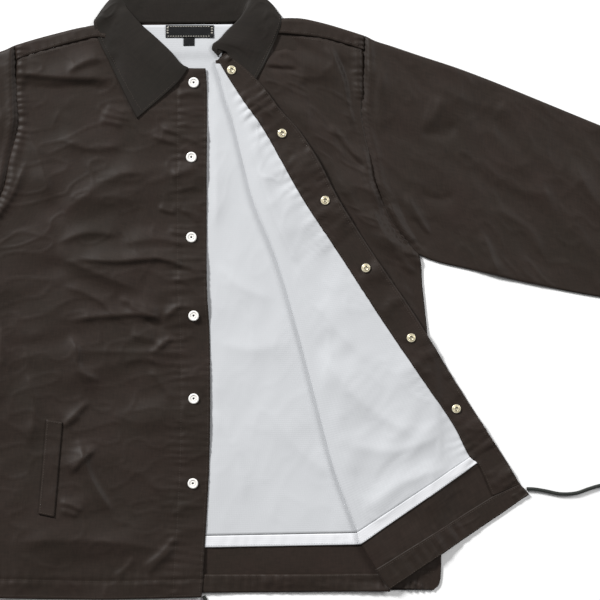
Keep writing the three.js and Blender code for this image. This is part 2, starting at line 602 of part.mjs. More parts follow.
// The right sleeve's folds lie a little lower than the left one's
const RIGHT_FOLD_DROP = { from: 10, to: 4 };
const mirroredFolds = (folds) => folds.map(({ from, to, ...size }) => ({
  ...size,
  from: [-from[0], from[1] - RIGHT_FOLD_DROP.from],
  to: [-to[0], to[1] - RIGHT_FOLD_DROP.to],
}));
const addSleeve = (side, mirror, folds) => {
  const over = sleevePoints(sleeveOutline(mirror));
  const height = (x, y) => FRONT_HEIGHT + foldRise(folds, x, y);
  const grid = tubeGrid({ over, under: over, height, low: BACK_HEIGHT });
  add(`sleeve_${side}`, wall(grid, SHELL, true), shellCloth());

  // The elastic cuff, gathered in even ripples
  const place = (p) => new THREE.Vector3(...(mirror ? mirrored(p) : p), 0);
  const [top, under] = [place(CUFF.top), place(CUFF.under)];
  const along = under.clone().sub(top).normalize();
  const out = new THREE.Vector3(-along.y, along.x, 0).multiplyScalar(mirror ? -1 : 1);
  const spans = CUFF.gathers * 2;
  const inner = evenly(spans).map((share) => mix(CUFF_ROUND, 1 - CUFF_ROUND, share));
  const rings = evenly(CUFF_STATIONS).map((station) => [0, ...inner, 1].map((share) => (
    top.clone().lerp(under, share).addScaledVector(out, CUFF.length * station))));
  const ripple = (p) => {
    const share = p.clone().sub(top).dot(along) / top.distanceTo(under);
    return FRONT_HEIGHT + CUFF.ripple * (1 + Math.cos(2 * Math.PI * CUFF.gathers * share)) / 2;
  };
  const cuff = tubeGrid({
    over: rings,
    under: rings,
    height: (x, y) => ripple(new THREE.Vector3(x, y, 0)),
    low: BACK_HEIGHT,
  });
  add(`cuff_${side}`, wall(cuff, SHELL, true), shellCloth());
};
addSleeve('left', false, SLEEVE_FOLDS);
addSleeve('right', true, mirroredFolds(SLEEVE_FOLDS));

// Collar: a stand whose inside shows at the back neck, and a fall turned over all round
const collarGrid = () => {
  const lines = COLLAR_KEYS.map((_, k) => new THREE.CatmullRomCurve3(
    COLLAR_SECTIONS.map((section) => new THREE.Vector3(...section[k])), false, 'centripetal'));
  const rows = (COLLAR_SECTIONS.length - 1) * COLLAR_ROWS_PER_SECTION;
  const grid = [];
  for (let r = 0; r <= rows; r += 1) {
    const section = new THREE.CatmullRomCurve3(
      lines.map((line) => line.getPoint(r / rows)), false, 'centripetal');
    grid.push(COLLAR_COLUMNS.map((c) => section.getPoint(c / (COLLAR_KEYS.length - 1))));
  }
  return grid;
};
add('collar', wall(collarGrid(), SHELL), cloth(COLLAR_COLOUR, 0.6));

// Studs and sockets: turned caps
const STUD_PROFILE = [
  [0, 0], [0.4, 0], [0.5, 0.06], [0.46, 0.14], [0.3, 0.155], [0.24, 0.11], [0.14, 0.13],
  [0.07, 0.12], [0, 0.07],
];
const SOCKET_PROFILE = [
  [0, 0], [0.42, 0], [0.5, 0.07], [0.42, 0.13], [0.3, 0.12], [0.24, 0.2], [0.15, 0.22],
  [0.12, 0.1], [0, 0.1],
];
const STUD_SIDES = 12;
const SOCKET_SIDES = 10;
const turned = (profile, diameter, sides) => {
  const outline = profile.map(([r, z]) => new THREE.Vector2(r * diameter, z * diameter));
  return facedOut(welded(new THREE.LatheGeometry(outline, sides).rotateX(Math.PI / 2)));
};
const addAt = (name, geometry, place, material) => add(name, geometry, material).position.set(...place);
const enamel = () => new THREE.MeshStandardMaterial({ color: ENAMEL_COLOUR, roughness: 0.3 });
const brass = () => new THREE.MeshStandardMaterial({
  color: SOCKET_COLOUR, roughness: 0.35, metalness: 0.9,
});
STUDS.forEach(([x, y], i) => {
  const height = rightFrontHeight(x, y) + SHELL / 2 + GAP;
  addAt(`stud_${i + 1}`, turned(STUD_PROFILE, STUD_DIAMETER, STUD_SIDES), [x, y, height], enamel());
});
SOCKETS.forEach(([x, y], i) => {
  const height = flapHeight(x, y, x - foldAt(y)) + SHELL / 2 + 2 * GAP + TRIM;
  addAt(`socket_${i + 1}`, turned(SOCKET_PROFILE, SOCKET_DIAMETER, SOCKET_SIDES), [x, y, height],
    brass());
});

// Woven neck label and size tag, over the back lining
const slab = (...sizes) => facedOut(welded(new THREE.BoxGeometry(...sizes)));
const LABEL_HEIGHT = BACK_HEIGHT + NECK_RISE + SHELL / 2 + GAP + LINING + GAP + TRIM / 2;
const addLabel = (name, { x, width, depth }, top) => {
  addAt(name, slab(width, depth, TRIM), [x, top - depth / 2, LABEL_HEIGHT], cloth(LABEL_COLOUR, 0.8));
};
addLabel('neck_label', NECK_LABEL, NECK_LABEL.top);
addLabel('size_tag', SIZE_TAG, NECK_LABEL.top - NECK_LABEL.depth - SEAM);

// Welt of the slash pocket, on the right front
const weltEnd = ([x, y]) => [
  [x - WELT.width / 2, y + WELT.slope], [x + WELT.width / 2, y - WELT.slope],
];
const [weltTop, weltFoot] = [weltEnd(WELT.top), weltEnd(WELT.foot)];
const weltGrid = panel({
  top: weltTop,
  bottom: weltFoot,
  left: [weltTop[0], weltFoot[0]],
  right: [weltTop[1], weltFoot[1]],
  columns: 3,
  rowShares: evenly(10),
  height: (x, y) => rightFrontHeight(x, y) + SHELL / 2 + WELT.lift + TRIM / 2,
});
add('pocket_welt_right', wall(weltGrid, TRIM), shellCloth());

// Drawcord ends out of the hem channel, each with a knot
const addCord = (side, route) => {
  const lay = CORD_DIAMETER / 2;
  const path = new THREE.CatmullRomCurve3(route.map(([x, y]) => new THREE.Vector3(x, y, lay)));
  const section = new THREE.Shape();
  for (let k = 0; k < CORD_SIDES; k += 1) {
    const turn = (2 * Math.PI * (k + 0.5)) / CORD_SIDES;
    const [x, y] = [lay * Math.cos(turn), lay * Math.sin(turn)];
    if (k === 0) section.moveTo(x, y);
    else section.lineTo(x, y);
  }
  const geometry = new THREE.ExtrudeGeometry(section, {
    steps: Math.round(path.getLength() / CORD_STEP),
    bevelEnabled: false,
    extrudePath: path,
    curveSegments: 1,
  });
  add(`drawcord_${side}`, facedOut(welded(geometry)), cloth(CORD_COLOUR, 0.8));
  const [end, tangent] = [path.getPointAt(1), path.getTangentAt(1)];
  const knot = welded(new THREE.SphereGeometry(KNOT_DIAMETER / 2, 10, 8));
  const ball = end.clone().addScaledVector(tangent, KNOT_DIAMETER / 2 + SEAM);
  addAt(`drawcord_knot_${side}`, facedOut(knot), [ball.x, ball.y, KNOT_DIAMETER / 2],
    cloth(CORD_COLOUR, 0.8));
};
addCord('right', CORD_RIGHT);
addCord('left', CORD_LEFT);

// Origin: the middle of the garment's base, without the cord ends
const box = new THREE.Box3();
for (const mesh of garment.children) {
  if (!mesh.name.startsWith('drawcord')) box.expandByObject(mesh);
}
const middle = box.getCenter(new THREE.Vector3());
garment.position.set(-middle.x, -middle.y, -box.min.z);

export default jacket;
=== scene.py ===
import math

import bpy
import numpy as np
from bpy.props import FloatProperty, FloatVectorProperty, PointerProperty
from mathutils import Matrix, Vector


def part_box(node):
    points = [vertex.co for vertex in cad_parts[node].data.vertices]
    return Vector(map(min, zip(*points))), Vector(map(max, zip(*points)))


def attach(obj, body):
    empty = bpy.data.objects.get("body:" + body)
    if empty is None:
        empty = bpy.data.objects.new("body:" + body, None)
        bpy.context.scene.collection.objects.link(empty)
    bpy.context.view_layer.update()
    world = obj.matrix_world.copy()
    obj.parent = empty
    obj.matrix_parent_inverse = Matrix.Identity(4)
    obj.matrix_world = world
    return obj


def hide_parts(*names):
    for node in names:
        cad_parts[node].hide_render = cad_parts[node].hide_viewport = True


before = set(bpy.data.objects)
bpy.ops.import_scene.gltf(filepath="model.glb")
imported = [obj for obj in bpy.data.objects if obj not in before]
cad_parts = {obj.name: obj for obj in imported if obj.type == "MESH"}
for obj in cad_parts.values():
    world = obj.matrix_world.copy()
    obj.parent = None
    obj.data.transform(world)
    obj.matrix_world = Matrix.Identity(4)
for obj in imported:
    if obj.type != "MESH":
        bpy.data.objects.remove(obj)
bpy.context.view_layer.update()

bl_info = {
    "name": "Coach Jacket, Laid Flat",
    "version": (1, 0, 0),
    "blender": (4, 5, 0),
    "location": "View3D > Sidebar > Jacket",
    "description": "Builds a nylon coach jacket lying flat with its left front folded open",
    "category": "Object",
}

# Sizes below are millimetres in the garment's own frame: x to the viewer's right from the
# centre back line, y up from the hem line, z up from the surface. Left and right are the wearer's.
MM = 0.001
STUD_ONE = (5.0, 656.5)
_stud_low, _stud_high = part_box("stud_1")
ORIGIN = np.array([
    STUD_ONE[0] - (_stud_low.x + _stud_high.x) / 2 / MM,
    STUD_ONE[1] - (_stud_low.y + _stud_high.y) / 2 / MM,
    0.0,
])

# Layers, as the frame's solids have them
CLOTH = 1.0
BACK_HEIGHT = 0.6
FRONT_HEIGHT = 3.8
SIDE_HEIGHT = 2.25
FLAP_HEIGHT = 5.5
FOLD_HEIGHT = 8.0
LINING_LIFT = 1.5
NECK_RISE = 1.75
RIGHT_SHOULDER_DROP = 12.0
UNDERARM_Y = 437.0
SHOULDER_Y = 716.0
PLACKET_WIDTH = 37.0
CHANNEL_DEPTH = 24.0

ARMHOLE = [
    (221, 716), (220, 653), (218.5, 616), (223.5, 587), (230, 560), (235, 531), (244, 508),
    (255, 484), (267, 466), (282, 448), (291, 437),
]
SIDE = [
    (291, 437), (295, 399), (299, 362), (303, 320), (310, 200), (317, 100), (319, 57), (316, 20),
    (309, 13),
]
YOKE_LEFT = {
    "contour": [(88, 732), (113, 737.5), (140, 738), (171, 731.5), (190, 726), (221.5, 716)],
    "seam": [(100, 719), (114, 720), (140, 718), (172, 713.5), (190, 709), (221, 699.5)],
}
YOKE_RIGHT = {
    "contour": [(-92, 727), (-112, 730), (-140, 726), (-165, 720), (-195, 712), (-221.5, 704)],
    "seam": [(-97, 712), (-118, 715.5), (-142, 710.5), (-165, 704.5), (-194, 696), (-220, 687)],
}
BACK_TOP = [
    (-219.5, 691), (-194, 699), (-165, 706.5), (-140, 712), (-112, 714.5), (-98, 710), (-86, 718),
    (-66, 729.6), (0, 730), (54, 731), (74, 730), (84, 720), (96, 719.5), (113, 723.5), (140, 724),
    (171, 717.5), (190, 712), (219.5, 702),
]
BACK_HEM = [(-309, 5), (-200, 6), (0, 9), (60, 10.5), (200, 11.5), (309, 13)]
RIGHT_NECK = [
    (-219, 687), (-194, 696), (-165, 704.5), (-142, 710.5), (-118, 715.5), (-98, 712), (-60, 697),
    (-30, 682), (-6, 675.5), (20, 674.5),
]
RIGHT_EDGE = [
    (20, 674.5), (21.5, 657), (21.5, 508), (22, 394), (25, 343), (26, 254), (25, 182), (21, 99),
    (18.5, 60), (16.5, 23), (15, 4),
]
RIGHT_HEM = [(-309, 13), (-250, 4), (-120, 1), (-60, 2), (15, 4)]
LEFT_NECK = [
    (33, 684.4), (45, 697), (62, 710), (84, 717), (100, 719), (114, 720), (140, 718),
    (172, 713.5), (190, 709), (219.5, 699.5),
]
LEFT_HEM = [(254, 15), (285, 13.5), (309, 13)]
FLAP = {
    "fold": [
        (33, 684.4), (34.5, 677), (40, 661), (47.5, 632.5), (55.5, 609.5), (70, 552.5), (81.5, 508),
        (113, 428), (139.5, 338), (161.5, 254), (185.5, 164), (213.5, 87.5), (217.5, 72.5),
        (236, 40.5), (254, 15),
    ],
    "facing": [
        (36, 685.2), (41, 675.5), (53, 656), (70, 630), (91.5, 599.5), (120.5, 548.5), (143.5, 508),
        (190.5, 437), (247.5, 349.5), (298.5, 274.5), (336.5, 218.5), (355.5, 181.5), (364.5, 174),
        (384.5, 132), (396, 110.5),
    ],
    "edge": [
        (48, 691.5), (72, 672.5), (94, 650), (114.5, 622.5), (137, 598), (162.5, 559),
        (190.5, 505.5), (233.5, 438), (286, 360.5), (334, 282), (377, 214.5), (397.5, 183),
        (404, 172.5), (419, 147.5), (430.5, 134.5),
    ],
}
FLAP_SECTIONS = len(FLAP["fold"]) - 1
BAND_TOP_SECTION, LINING_END_SECTION, CHANNEL_SECTION = 11, 12, 13
COLLAR_RISE = 2.1
COLLAR_TIP_Y = 618.0
LINING_LEFT = [(-62, 729.5), (-47, 704), (-24, 678), (-6, 652), (0, 600), (0, 400), (-2, 81.5)]
LINING_RIGHT = [
    (55, 730.5), (46, 708), (40, 690), (48, 660), (58, 632), (74, 595), (101, 508), (133, 428),
    (160, 338), (182, 254), (206, 164), (232, 86),
]
BAND_DEPTH = 14.5
SLEEVE_TOP = [
    (222, 716), (234, 710), (254, 703.5), (291, 691), (338, 675.5), (382, 659), (444.5, 633.5),
    (560, 586), (680, 536), (770, 497),
]
SLEEVE_UNDER = [
    (292, 437.5), (310, 430.5), (358, 419), (407, 407), (444.5, 399), (520, 385), (600, 374),
    (670, 366), (735, 363),
]
CUFF = {"top": (771, 491), "under": (738, 371), "length": 28.0, "gathers": 34}

# The collar, a row for each section from the right front round the back neck to the left front:
# x, y and height of the neck seam, the roll, the start of the fall, its turn and its outer edge
COLLAR = [
    ((-2, 675.5, 5.8), (-3, 673.5, 6.7), (-13, 658.5, 6.6), (-35, 638, 5.9), (-67, 611, 5.7)),
    ((-14, 680, 5.8), (-12.5, 681.5, 7.1), (-25, 669, 7.6), (-46, 648, 6.1), (-73, 622, 5.7)),
    ((-31, 686, 5.6), (-24, 695, 7.2), (-38, 682, 8.3), (-58, 661, 6.2), (-82, 640, 5.7)),
    ((-54, 703, 5.6), (-44, 714, 7.3), (-58, 700, 8.8), (-78, 684, 6.5), (-101, 681, 5.7)),
    ((-70, 717, 5.6), (-62, 730, 7.5), (-76, 721, 8.8), (-96, 710, 6.6), (-114, 707, 5.7)),
    ((-76, 729, 5.2), (-75, 745, 7.5), (-90, 740, 8.8), (-107, 729, 6.7), (-120, 724, 5.8)),
    ((-76, 732, 4.2), (-80, 751, 7.5), (-96, 746, 8.4), (-112, 738, 6.7), (-121.5, 733, 5.4)),
    ((-74, 732.6, 3.4), (-84, 757, 7.5), (-102, 752, 7.4), (-114, 744, 5), (-119, 738, 3)),
    ((-70, 732.2, 2.8), (-87, 763, 7.3), (-104, 757, 5.6), (-110, 750, 2.4), (-110, 739, 0.85)),
    ((-64, 731.6, 2.5), (-82, 769, 6.4), (-95, 766, 3.6), (-97, 759, 1.3), (-99, 726, 0.85)),
    ((-52, 731.4, 2.3), (-62, 771, 5.2), (-66, 772, 2.6), (-68, 760, 0.9), (-76, 713, 0.85)),
    ((0, 731.6, 2.3), (0, 769, 4.6), (0, 771, 2.2), (0, 758, 0.9), (0, 711, 0.85)),
    ((52, 732.6, 2.3), (60, 770, 5.2), (64, 771, 2.6), (66, 759, 0.9), (74, 713, 0.85)),
    ((60, 733.4, 2.7), (79, 767, 6.4), (93, 765, 3.6), (97, 758, 1.3), (98, 728, 0.85)),
    ((64, 733.2, 3.2), (76, 757, 7.4), (99, 757, 6.0), (108, 751, 2.6), (109, 743, 0.85)),
    ((67, 730, 4.4), (70, 747, 7.8), (94, 748, 8.2), (109, 746, 5.6), (115, 742, 3.2)),
    ((67, 724, 5.3), (62, 736, 7.8), (88, 735, 8.6), (106, 734, 6.8), (116, 734, 5.4)),
    ((60, 714, 5.6), (48, 722.5, 7.5), (73, 718, 8.6), (95, 714, 6.8), (111, 716, 5.8)),
    ((51, 704, 5.6), (38, 711, 7.5), (62, 703, 8.6), (84, 696, 6.8), (104, 699, 5.8)),
    ((42, 696, 5.6), (30, 705, 7.5), (58, 699, 7.4), (77, 684, 5.8), (95, 680, 5.6)),
    ((36.5, 690.5, 5.7), (28.5, 699, 7.5), (52, 693, 6.2), (68, 664, 5.6), (80, 652, 5.5)),
    ((36, 688.5, 5.9), (36, 700, 7.5), (46, 696, 6.2), (57, 655, 5.6), (66, 618, 5.5)),
]
COLLAR_SECTIONS = len(COLLAR) - 1

# Creases, placed one by one. Each row: the points that the crease runs through, its height (less
# than 0 for a trough), its width on its left side as it runs, and on its right side.
RIGHT_FRONT_CREASES = [
    ([(-230, 670), (-165, 663), (-96, 661)], 3.4, 14, 5),
    ([(-235, 650), (-165, 648), (-100, 650)], -2.6, 8, 10),
    ([(-156, 668), (-133, 682), (-108, 689)], 2.4, 7, 4),
    ([(-114, 617), (-92, 613), (-72, 609)], 1.6, 6, 3),
    ([(-116, 609), (-98, 606), (-84, 601)], 1.5, 5, 3),
    ([(-108, 625), (-92, 622), (-78, 617)], 1.2, 5, 3),
    ([(-41, 602), (-13, 590), (15, 578)], 2.0, 7, 3),
    ([(-51, 590), (-19, 579), (-4, 573)], 1.7, 6, 3),
    ([(-17, 638), (0, 644), (19, 641)], 1.9, 5, 4),
    ([(-26, 536), (0, 546), (13, 549)], 2.6, 6, 8),
    ([(-41, 498), (-29, 494), (-16, 491)], 2.0, 6, 3),
    ([(-13, 495), (0, 489), (13, 476)], 1.8, 6, 3),
    ([(-168, 487), (-95, 537), (-38, 546)], 2.8, 20, 13),
    ([(-25, 498), (0, 493), (19, 480)], 1.8, 7, 4),
    ([(-89, 452), (-40, 458), (12, 449)], 1.6, 10, 7),
    ([(-150, 433), (-90, 430), (-38, 434), (-15, 427), (19, 412)], 3.8, 11, 3.5),
    ([(-172, 438), (-110, 412), (-60, 392)], 4.2, 30, 10),
    ([(-92, 382), (-60, 374), (-36, 364)], 2.4, 14, 6),
    ([(-76, 336), (-60, 334), (-44, 330)], 1.8, 10, 4),
    ([(-22, 407), (0, 408), (20, 410)], 1.9, 7, 2.8),
    ([(-14, 620), (2, 616), (20, 618)], 1.3, 5, 3),
    ([(-12, 606), (4, 600), (20, 603)], 1.2, 5, 3),
    ([(-16, 520), (0, 524), (20, 520)], 1.3, 5, 3),
    ([(-12, 436), (4, 433), (20, 436)], 1.3, 5, 3),
    ([(-30, 470), (-8, 466), (12, 470)], 1.5, 6, 3),
    ([(-13, 330), (2, 334), (22, 329)], 1.3, 5, 3),
    ([(-12, 288), (4, 284), (24, 287)], 1.2, 5, 3),
    ([(-20, 230), (0, 224), (24, 228)], 1.4, 6, 3),
    ([(-24, 108), (0, 120), (18, 118)], 1.5, 5, 4),
    ([(-60, 40), (-36, 60), (-10, 88)], 2.0, 4, 7),
    ([(-96, 30), (-78, 44), (-70, 58)], 1.3, 3, 5),
    ([(-168, 585), (-120, 572), (-80, 580)], 1.8, 12, 5),
    ([(-170, 452), (-130, 466), (-86, 462)], 2.0, 12, 5),
    ([(-164, 400), (-120, 384), (-84, 352)], 1.9, 10, 5),
    ([(-90, 300), (-60, 306), (-30, 300)], 1.5, 9, 4),
    ([(-152, 356), (-100, 361), (-55, 362), (-34, 355)], 3.2, 9, 3.5),
    ([(-34, 355), (-23, 366), (-12, 373), (8, 371)], 2.4, 6, 4),
    ([(-80, 376), (-58, 366), (-36, 357)], 2.0, 5, 7),
    ([(-58, 357), (-44, 348), (-30, 350)], -1.6, 5, 5),
    ([(-42, 320), (-20, 335)], 1.8, 5, 2.8),
    ([(-50, 312), (-28, 327)], 1.5, 5, 2.8),
    ([(-158, 317), (-70, 315), (18, 316)], 0.9, 4, 4),
    ([(-154, 338), (-142, 318), (-143, 302), (-136, 289), (-112, 278)], 3.0, 5, 9),
    ([(-52, 294), (-34, 272), (-18, 252)], 1.6, 9, 6),
    ([(-126, 254), (-142, 238), (-160, 222)], 2.6, 2.8, 8),
    ([(-138, 236), (-150, 226), (-163, 220)], 1.6, 2.6, 5),
    ([(-118, 196), (-136, 178), (-152, 160)], 2.6, 2.8, 8),
    ([(-141, 206), (-126, 156), (-111, 131), (-97, 108)], 3.2, 4.5, 12),
    ([(-166, 124), (-150, 121), (-134, 112)], 2.2, 6, 3),
    ([(-164, 114), (-152, 112), (-142, 106)], 1.6, 5, 3),
    ([(-230, 74), (-150, 77), (-90, 74), (-20, 62)], 4.2, 26, 14),
    ([(-20, 68), (-44, 45), (-54, 32)], 1.8, 5, 5),
    ([(-110, 240), (-60, 225), (-25, 236)], 1.0, 12, 9),
    ([(-95, 170), (-62, 160), (-30, 130)], 1.1, 12, 9),
    ([(-140, 560), (-110, 540), (-60, 546)], 1.2, 14, 9),
    ([(-150, 505), (-105, 512), (-60, 505)], 1.0, 9, 14),
    ([(-250, 420), (-238, 330), (-252, 230)], 2.4, 10, 14),
    ([(-210, 300), (-196, 250), (-206, 190)], 2.0, 8, 9),
    ([(-285, 150), (-262, 105), (-270, 60)], 2.0, 8, 10),
    ([(-214, 610), (-190, 560), (-176, 500)], 2.2, 8, 12),
    ([(-262, 470), (-230, 505), (-205, 560)], 2.6, 9, 5),
]
LEFT_FRONT_CREASES = [
    ([(172, 706), (184, 688), (193, 667), (201, 629), (214, 588)], 3.6, 5, 9),
    ([(182, 700), (199, 667), (208, 629), (220, 584)], -4.2, 6, 5),
    ([(177, 606), (200, 576), (222, 553)], 2.4, 4, 8),
    ([(180, 596), (202, 567), (224, 545)], -2.6, 5, 5),
    ([(142, 656), (158, 646)], -1.6, 6, 6),
    ([(96, 676), (116, 674), (136, 673)], -1.8, 3, 3),
    ([(96, 680), (116, 678), (136, 677)], 1.4, 6, 3),
    ([(150, 690), (140, 640), (150, 600)], 1.4, 12, 12),
    ([(188, 540), (210, 500), (236, 470)], 1.8, 8, 12),
    ([(205, 585), (225, 530), (250, 490)], 1.6, 7, 8),
    ([(262, 430), (270, 400), (290, 378)], 1.8, 8, 7),
    ([(276, 30), (290, 44), (312, 40)], 1.8, 6, 6),
]
SLEEVE_CREASES = [
    ([(282, 486), (293, 466), (293, 446)], -2.2, 5, 5),
    ([(306, 486), (310, 470), (309, 452)], -2.2, 4, 6),
    ([(366, 466), (378, 444), (390, 412)], 2.2, 7, 5),
    ([(290, 516), (314, 509), (338, 514)], -1.6, 9, 9),
    ([(322, 640), (312, 618), (300, 600)], 2.0, 8, 8),
    ([(340, 606), (318, 591), (290, 594)], -2.2, 7, 7),
    ([(250, 690), (240, 640), (244, 590)], 2.0, 10, 9),
    ([(300, 660), (360, 630), (430, 618)], 1.6, 12, 16),
    ([(360, 560), (420, 520), (470, 515)], 1.8, 14, 9),
    ([(380, 500), (430, 470), (450, 430)], 1.8, 10, 8),
    ([(480, 560), (520, 500), (580, 470)], 2.6, 14, 8),
    ([(520, 450), (560, 430), (600, 388)], 2.4, 9, 9),
    ([(570, 560), (620, 500), (640, 440)], 2.6, 9, 13),
    ([(640, 520), (680, 470), (690, 420)], 2.6, 8, 10),
    ([(700, 500), (715, 460), (712, 410)], 2.2, 7, 8),
    ([(600, 400), (660, 420), (725, 400)], 1.8, 9, 9),
]
ARMPIT_CREASES = [
    ([(238, 514), (252, 483), (271, 452), (284, 437)], -3.4, 5, 4),
    ([(252, 506), (264, 477), (284, 449)], 3.0, 7, 3.5),
    ([(262, 510), (276, 483), (296, 453)], -2.4, 4, 5),
    ([(272, 516), (287, 489), (305, 462)], 2.8, 8, 4),
    ([(230, 500), (243, 470), (262, 444)], 2.6, 4, 7),
    ([(262, 446), (272, 428), (288, 412)], 2.0, 6, 4),
]
LINING_CREASES = [
    ([(60, 640), (82, 560), (110, 480), (150, 400)], 1.5, 14, 9),
    ([(84, 600), (130, 510), (180, 430)], 1.3, 12, 16),
    ([(120, 440), (180, 350), (230, 300)], 1.2, 16, 12),
    ([(160, 320), (220, 250), (300, 200)], 1.5, 18, 14),
    ([(190, 200), (260, 190), (330, 215)], 1.2, 14, 14),
    ([(215, 110), (270, 150), (330, 170)], 1.4, 12, 16),
]
BACK_CREASES = [
    ([(15, 600), (30, 540), (34, 470)], 1.2, 10, 14),
    ([(30, 430), (60, 400), (110, 380)], 1.2, 12, 12),
    ([(24, 330), (80, 318), (130, 330)], 1.1, 14, 12),
    ([(20, 250), (60, 190), (70, 120)], 1.3, 14, 12),
    ([(100, 240), (140, 190), (190, 150)], 1.2, 16, 12),
    ([(22, 55), (34, 48), (52, 38)], 1.4, 5, 4),
    ([(20, 64), (30, 60), (40, 52)], 1.2, 4, 4),
]

STUDS = [(5, 656.5), (2, 562), (2, 460.5), (5, 361), (5, 256), (4, 148.5)]
SOCKETS = [(53, 672), (117, 592), (171.5, 507), (223, 421.5), (280.5, 333), (338, 243)]
CORD_RIGHT = [
    (17.5, 5.5), (20, 0), (25, -8), (33, -20), (40, -36), (42, -54), (38, -74), (33, -94), (35, -112),
]
CORD_LEFT = [
    (427.4, 141.4), (437, 141), (452, 138.5), (470, 135), (490, 136), (508, 142), (524, 146),
    (542, 144), (556, 139),
]
CORD_DIAMETER = 4.5
KNOT_DIAMETER = 9.0
WELT = {"top": (-171.5, 228), "foot": (-181.5, 108), "width": 20.0}

# The photograph's frame: where its middle lies on the garment, and how much it spans
VIEW_CENTRE = (139.7, 381.0)
VIEW_SPAN = 762.0
CAMERA_HEIGHT = 2600.0


def linear(code):
    """An sRGB hex colour as linear red, green, blue and alpha."""
    parts = [int(code[i:i + 2], 16) / 255 for i in (1, 3, 5)]
    flat = [c / 12.92 if c <= 0.04045 else ((c + 0.055) / 1.055) ** 2.4 for c in parts]
    return (*flat, 1.0)


class JacketColours(bpy.types.PropertyGroup):
    """Colours of the cloth and the trims."""
    shell: FloatVectorProperty(
        name="Shell", description="Nylon taffeta of the body", subtype="COLOR", size=4,
        default=linear("#28201B"))
    collar: FloatVectorProperty(
        name="Collar", description="Interlined taffeta of the collar", subtype="COLOR", size=4,
        default=linear("#1E1A16"))
    lining: FloatVectorProperty(
        name="Lining", description="Brushed tricot of the lining", subtype="COLOR", size=4,
        default=linear("#C8CACD"))
    band: FloatVectorProperty(
        name="Lining hem", description="Turned hem of the lining", subtype="COLOR", size=4,
        default=linear("#E2E3E6"))
    label: FloatVectorProperty(
        name="Label", description="Damask ground of the labels", subtype="COLOR", size=4,
        default=linear("#0B0B0D"))
    enamel: FloatVectorProperty(
        name="Stud enamel", description="Enamel on the stud caps", subtype="COLOR", size=4,
        default=linear("#F4F2EE"))
    plating: FloatVectorProperty(
        name="Socket plating", description="Plating on the sockets", subtype="COLOR", size=4,
        default=linear("#EFE7CC"))
    cord: FloatVectorProperty(
        name="Drawcord", description="Braided drawcord", subtype="COLOR", size=4,
        default=linear("#20241F"))


class JacketSizes(bpy.types.PropertyGroup):
    """Sizes of the finish that a user would change."""
    mesh_step: FloatProperty(
        name="Mesh step", description="Spacing of the cloth's points", unit="LENGTH",
        default=3.0 * MM, min=1.5 * MM, max=12 * MM)
    crinkle: FloatProperty(
        name="Crinkle", description="Height of the taffeta's small crinkles", unit="LENGTH",
        default=0.8 * MM)
    pucker: FloatProperty(
        name="Seam pucker", description="Height of the puckers beside the armhole seams",
        unit="LENGTH", default=1.35 * MM)
    stitch_pitch: FloatProperty(
        name="Stitch pitch", description="Distance from one stitch to the next", unit="LENGTH",
        default=3.2 * MM)
    stitch_width: FloatProperty(
        name="Stitch width", description="Thickness of the sewing thread", unit="LENGTH",
        default=0.55 * MM)


def sizes():
    return bpy.context.scene.jacket_sizes


def colours():
    return bpy.context.scene.jacket_colours


# Curves, panels and walls


def catmull(points, t):
    """Points of a centripetal spline through the given ones, at even shares of its knots."""
    p = np.asarray(points, float)
    t = np.asarray(t, float)
    n = len(p)
    ext = np.vstack([2 * p[0] - p[1], p, 2 * p[-1] - p[-2]])
    u = np.clip(t, 0, 1) * (n - 1)
    i = np.minimum(u.astype(int), n - 2)
    w = (u - i)[:, None]
    p0, p1, p2, p3 = (ext[i + k] for k in range(4))
    d0, d1, d2 = (np.maximum(np.linalg.norm(b - a, axis=1) ** 0.5, 1e-4)[:, None]
                  for a, b in ((p0, p1), (p1, p2), (p2, p3)))
    t1 = ((p1 - p0) / d0 - (p2 - p0) / (d0 + d1) + (p2 - p1) / d1) * d1
    t2 = ((p2 - p1) / d1 - (p3 - p1) / (d1 + d2) + (p3 - p2) / d2) * d1
    c2 = -3 * p1 + 3 * p2 - 2 * t1 - t2
    c3 = 2 * p1 - 2 * p2 + t1 + t2
    return p1 + t1 * w + c2 * w ** 2 + c3 * w ** 3


def along(points, shares):
    """Points of the spline at even shares of its length."""
    knots = np.linspace(0, 1, 600)
    line = catmull(points, knots)
    run = np.concatenate([[0], np.cumsum(np.linalg.norm(np.diff(line, axis=0), axis=1))])
    return catmull(points, np.interp(np.asarray(shares) * run[-1], run, knots))


def coons_from(t, b, l, r, us, vs):
    """Plan points between four borders of points, rows from top to bottom."""
    u, v = np.asarray(us)[None, :, None], np.asarray(vs)[:, None, None]
    corners = ((1 - u) * (1 - v) * t[0] + u * (1 - v) * t[-1]
               + (1 - u) * v * b[0] + u * v * b[-1])
    return (1 - v) * t[None] + v * b[None] + (1 - u) * l[:, None] + u * r[:, None] - corners


def coons(top, bottom, left, right, us, vs):
    """The same between four border curves."""
    return coons_from(along(top, us), along(bottom, us), along(left, vs), along(right, vs), us, vs)


def smooth(t):
    s = np.clip(t, 0, 1)
    return s * s * (3 - 2 * s)


def mirrored(points):
    """The wearer's right side mirrors the left, with a lower shoulder as it lies."""
    p = np.array(points, float)
    share = np.clip((p[..., 1] - UNDERARM_Y) / (SHOULDER_Y - UNDERARM_Y), 0, 1)
    p[..., 0] *= -1
    p[..., 1] -= RIGHT_SHOULDER_DROP * share
    return p


def body_side(mirror, top):
    """Armhole and side as one outline, less the part at the shoulder that the yoke takes."""
    line = np.array(ARMHOLE + SIDE[1:], float)
    if mirror:
        line = mirrored(line)
    return np.vstack([[top], line[line[:, 1] < top[1] - 8]])


def side_at(y):
    ys, xs = [p[1] for p in SIDE][::-1], [p[0] for p in SIDE][::-1]
    return np.interp(y, ys, xs)


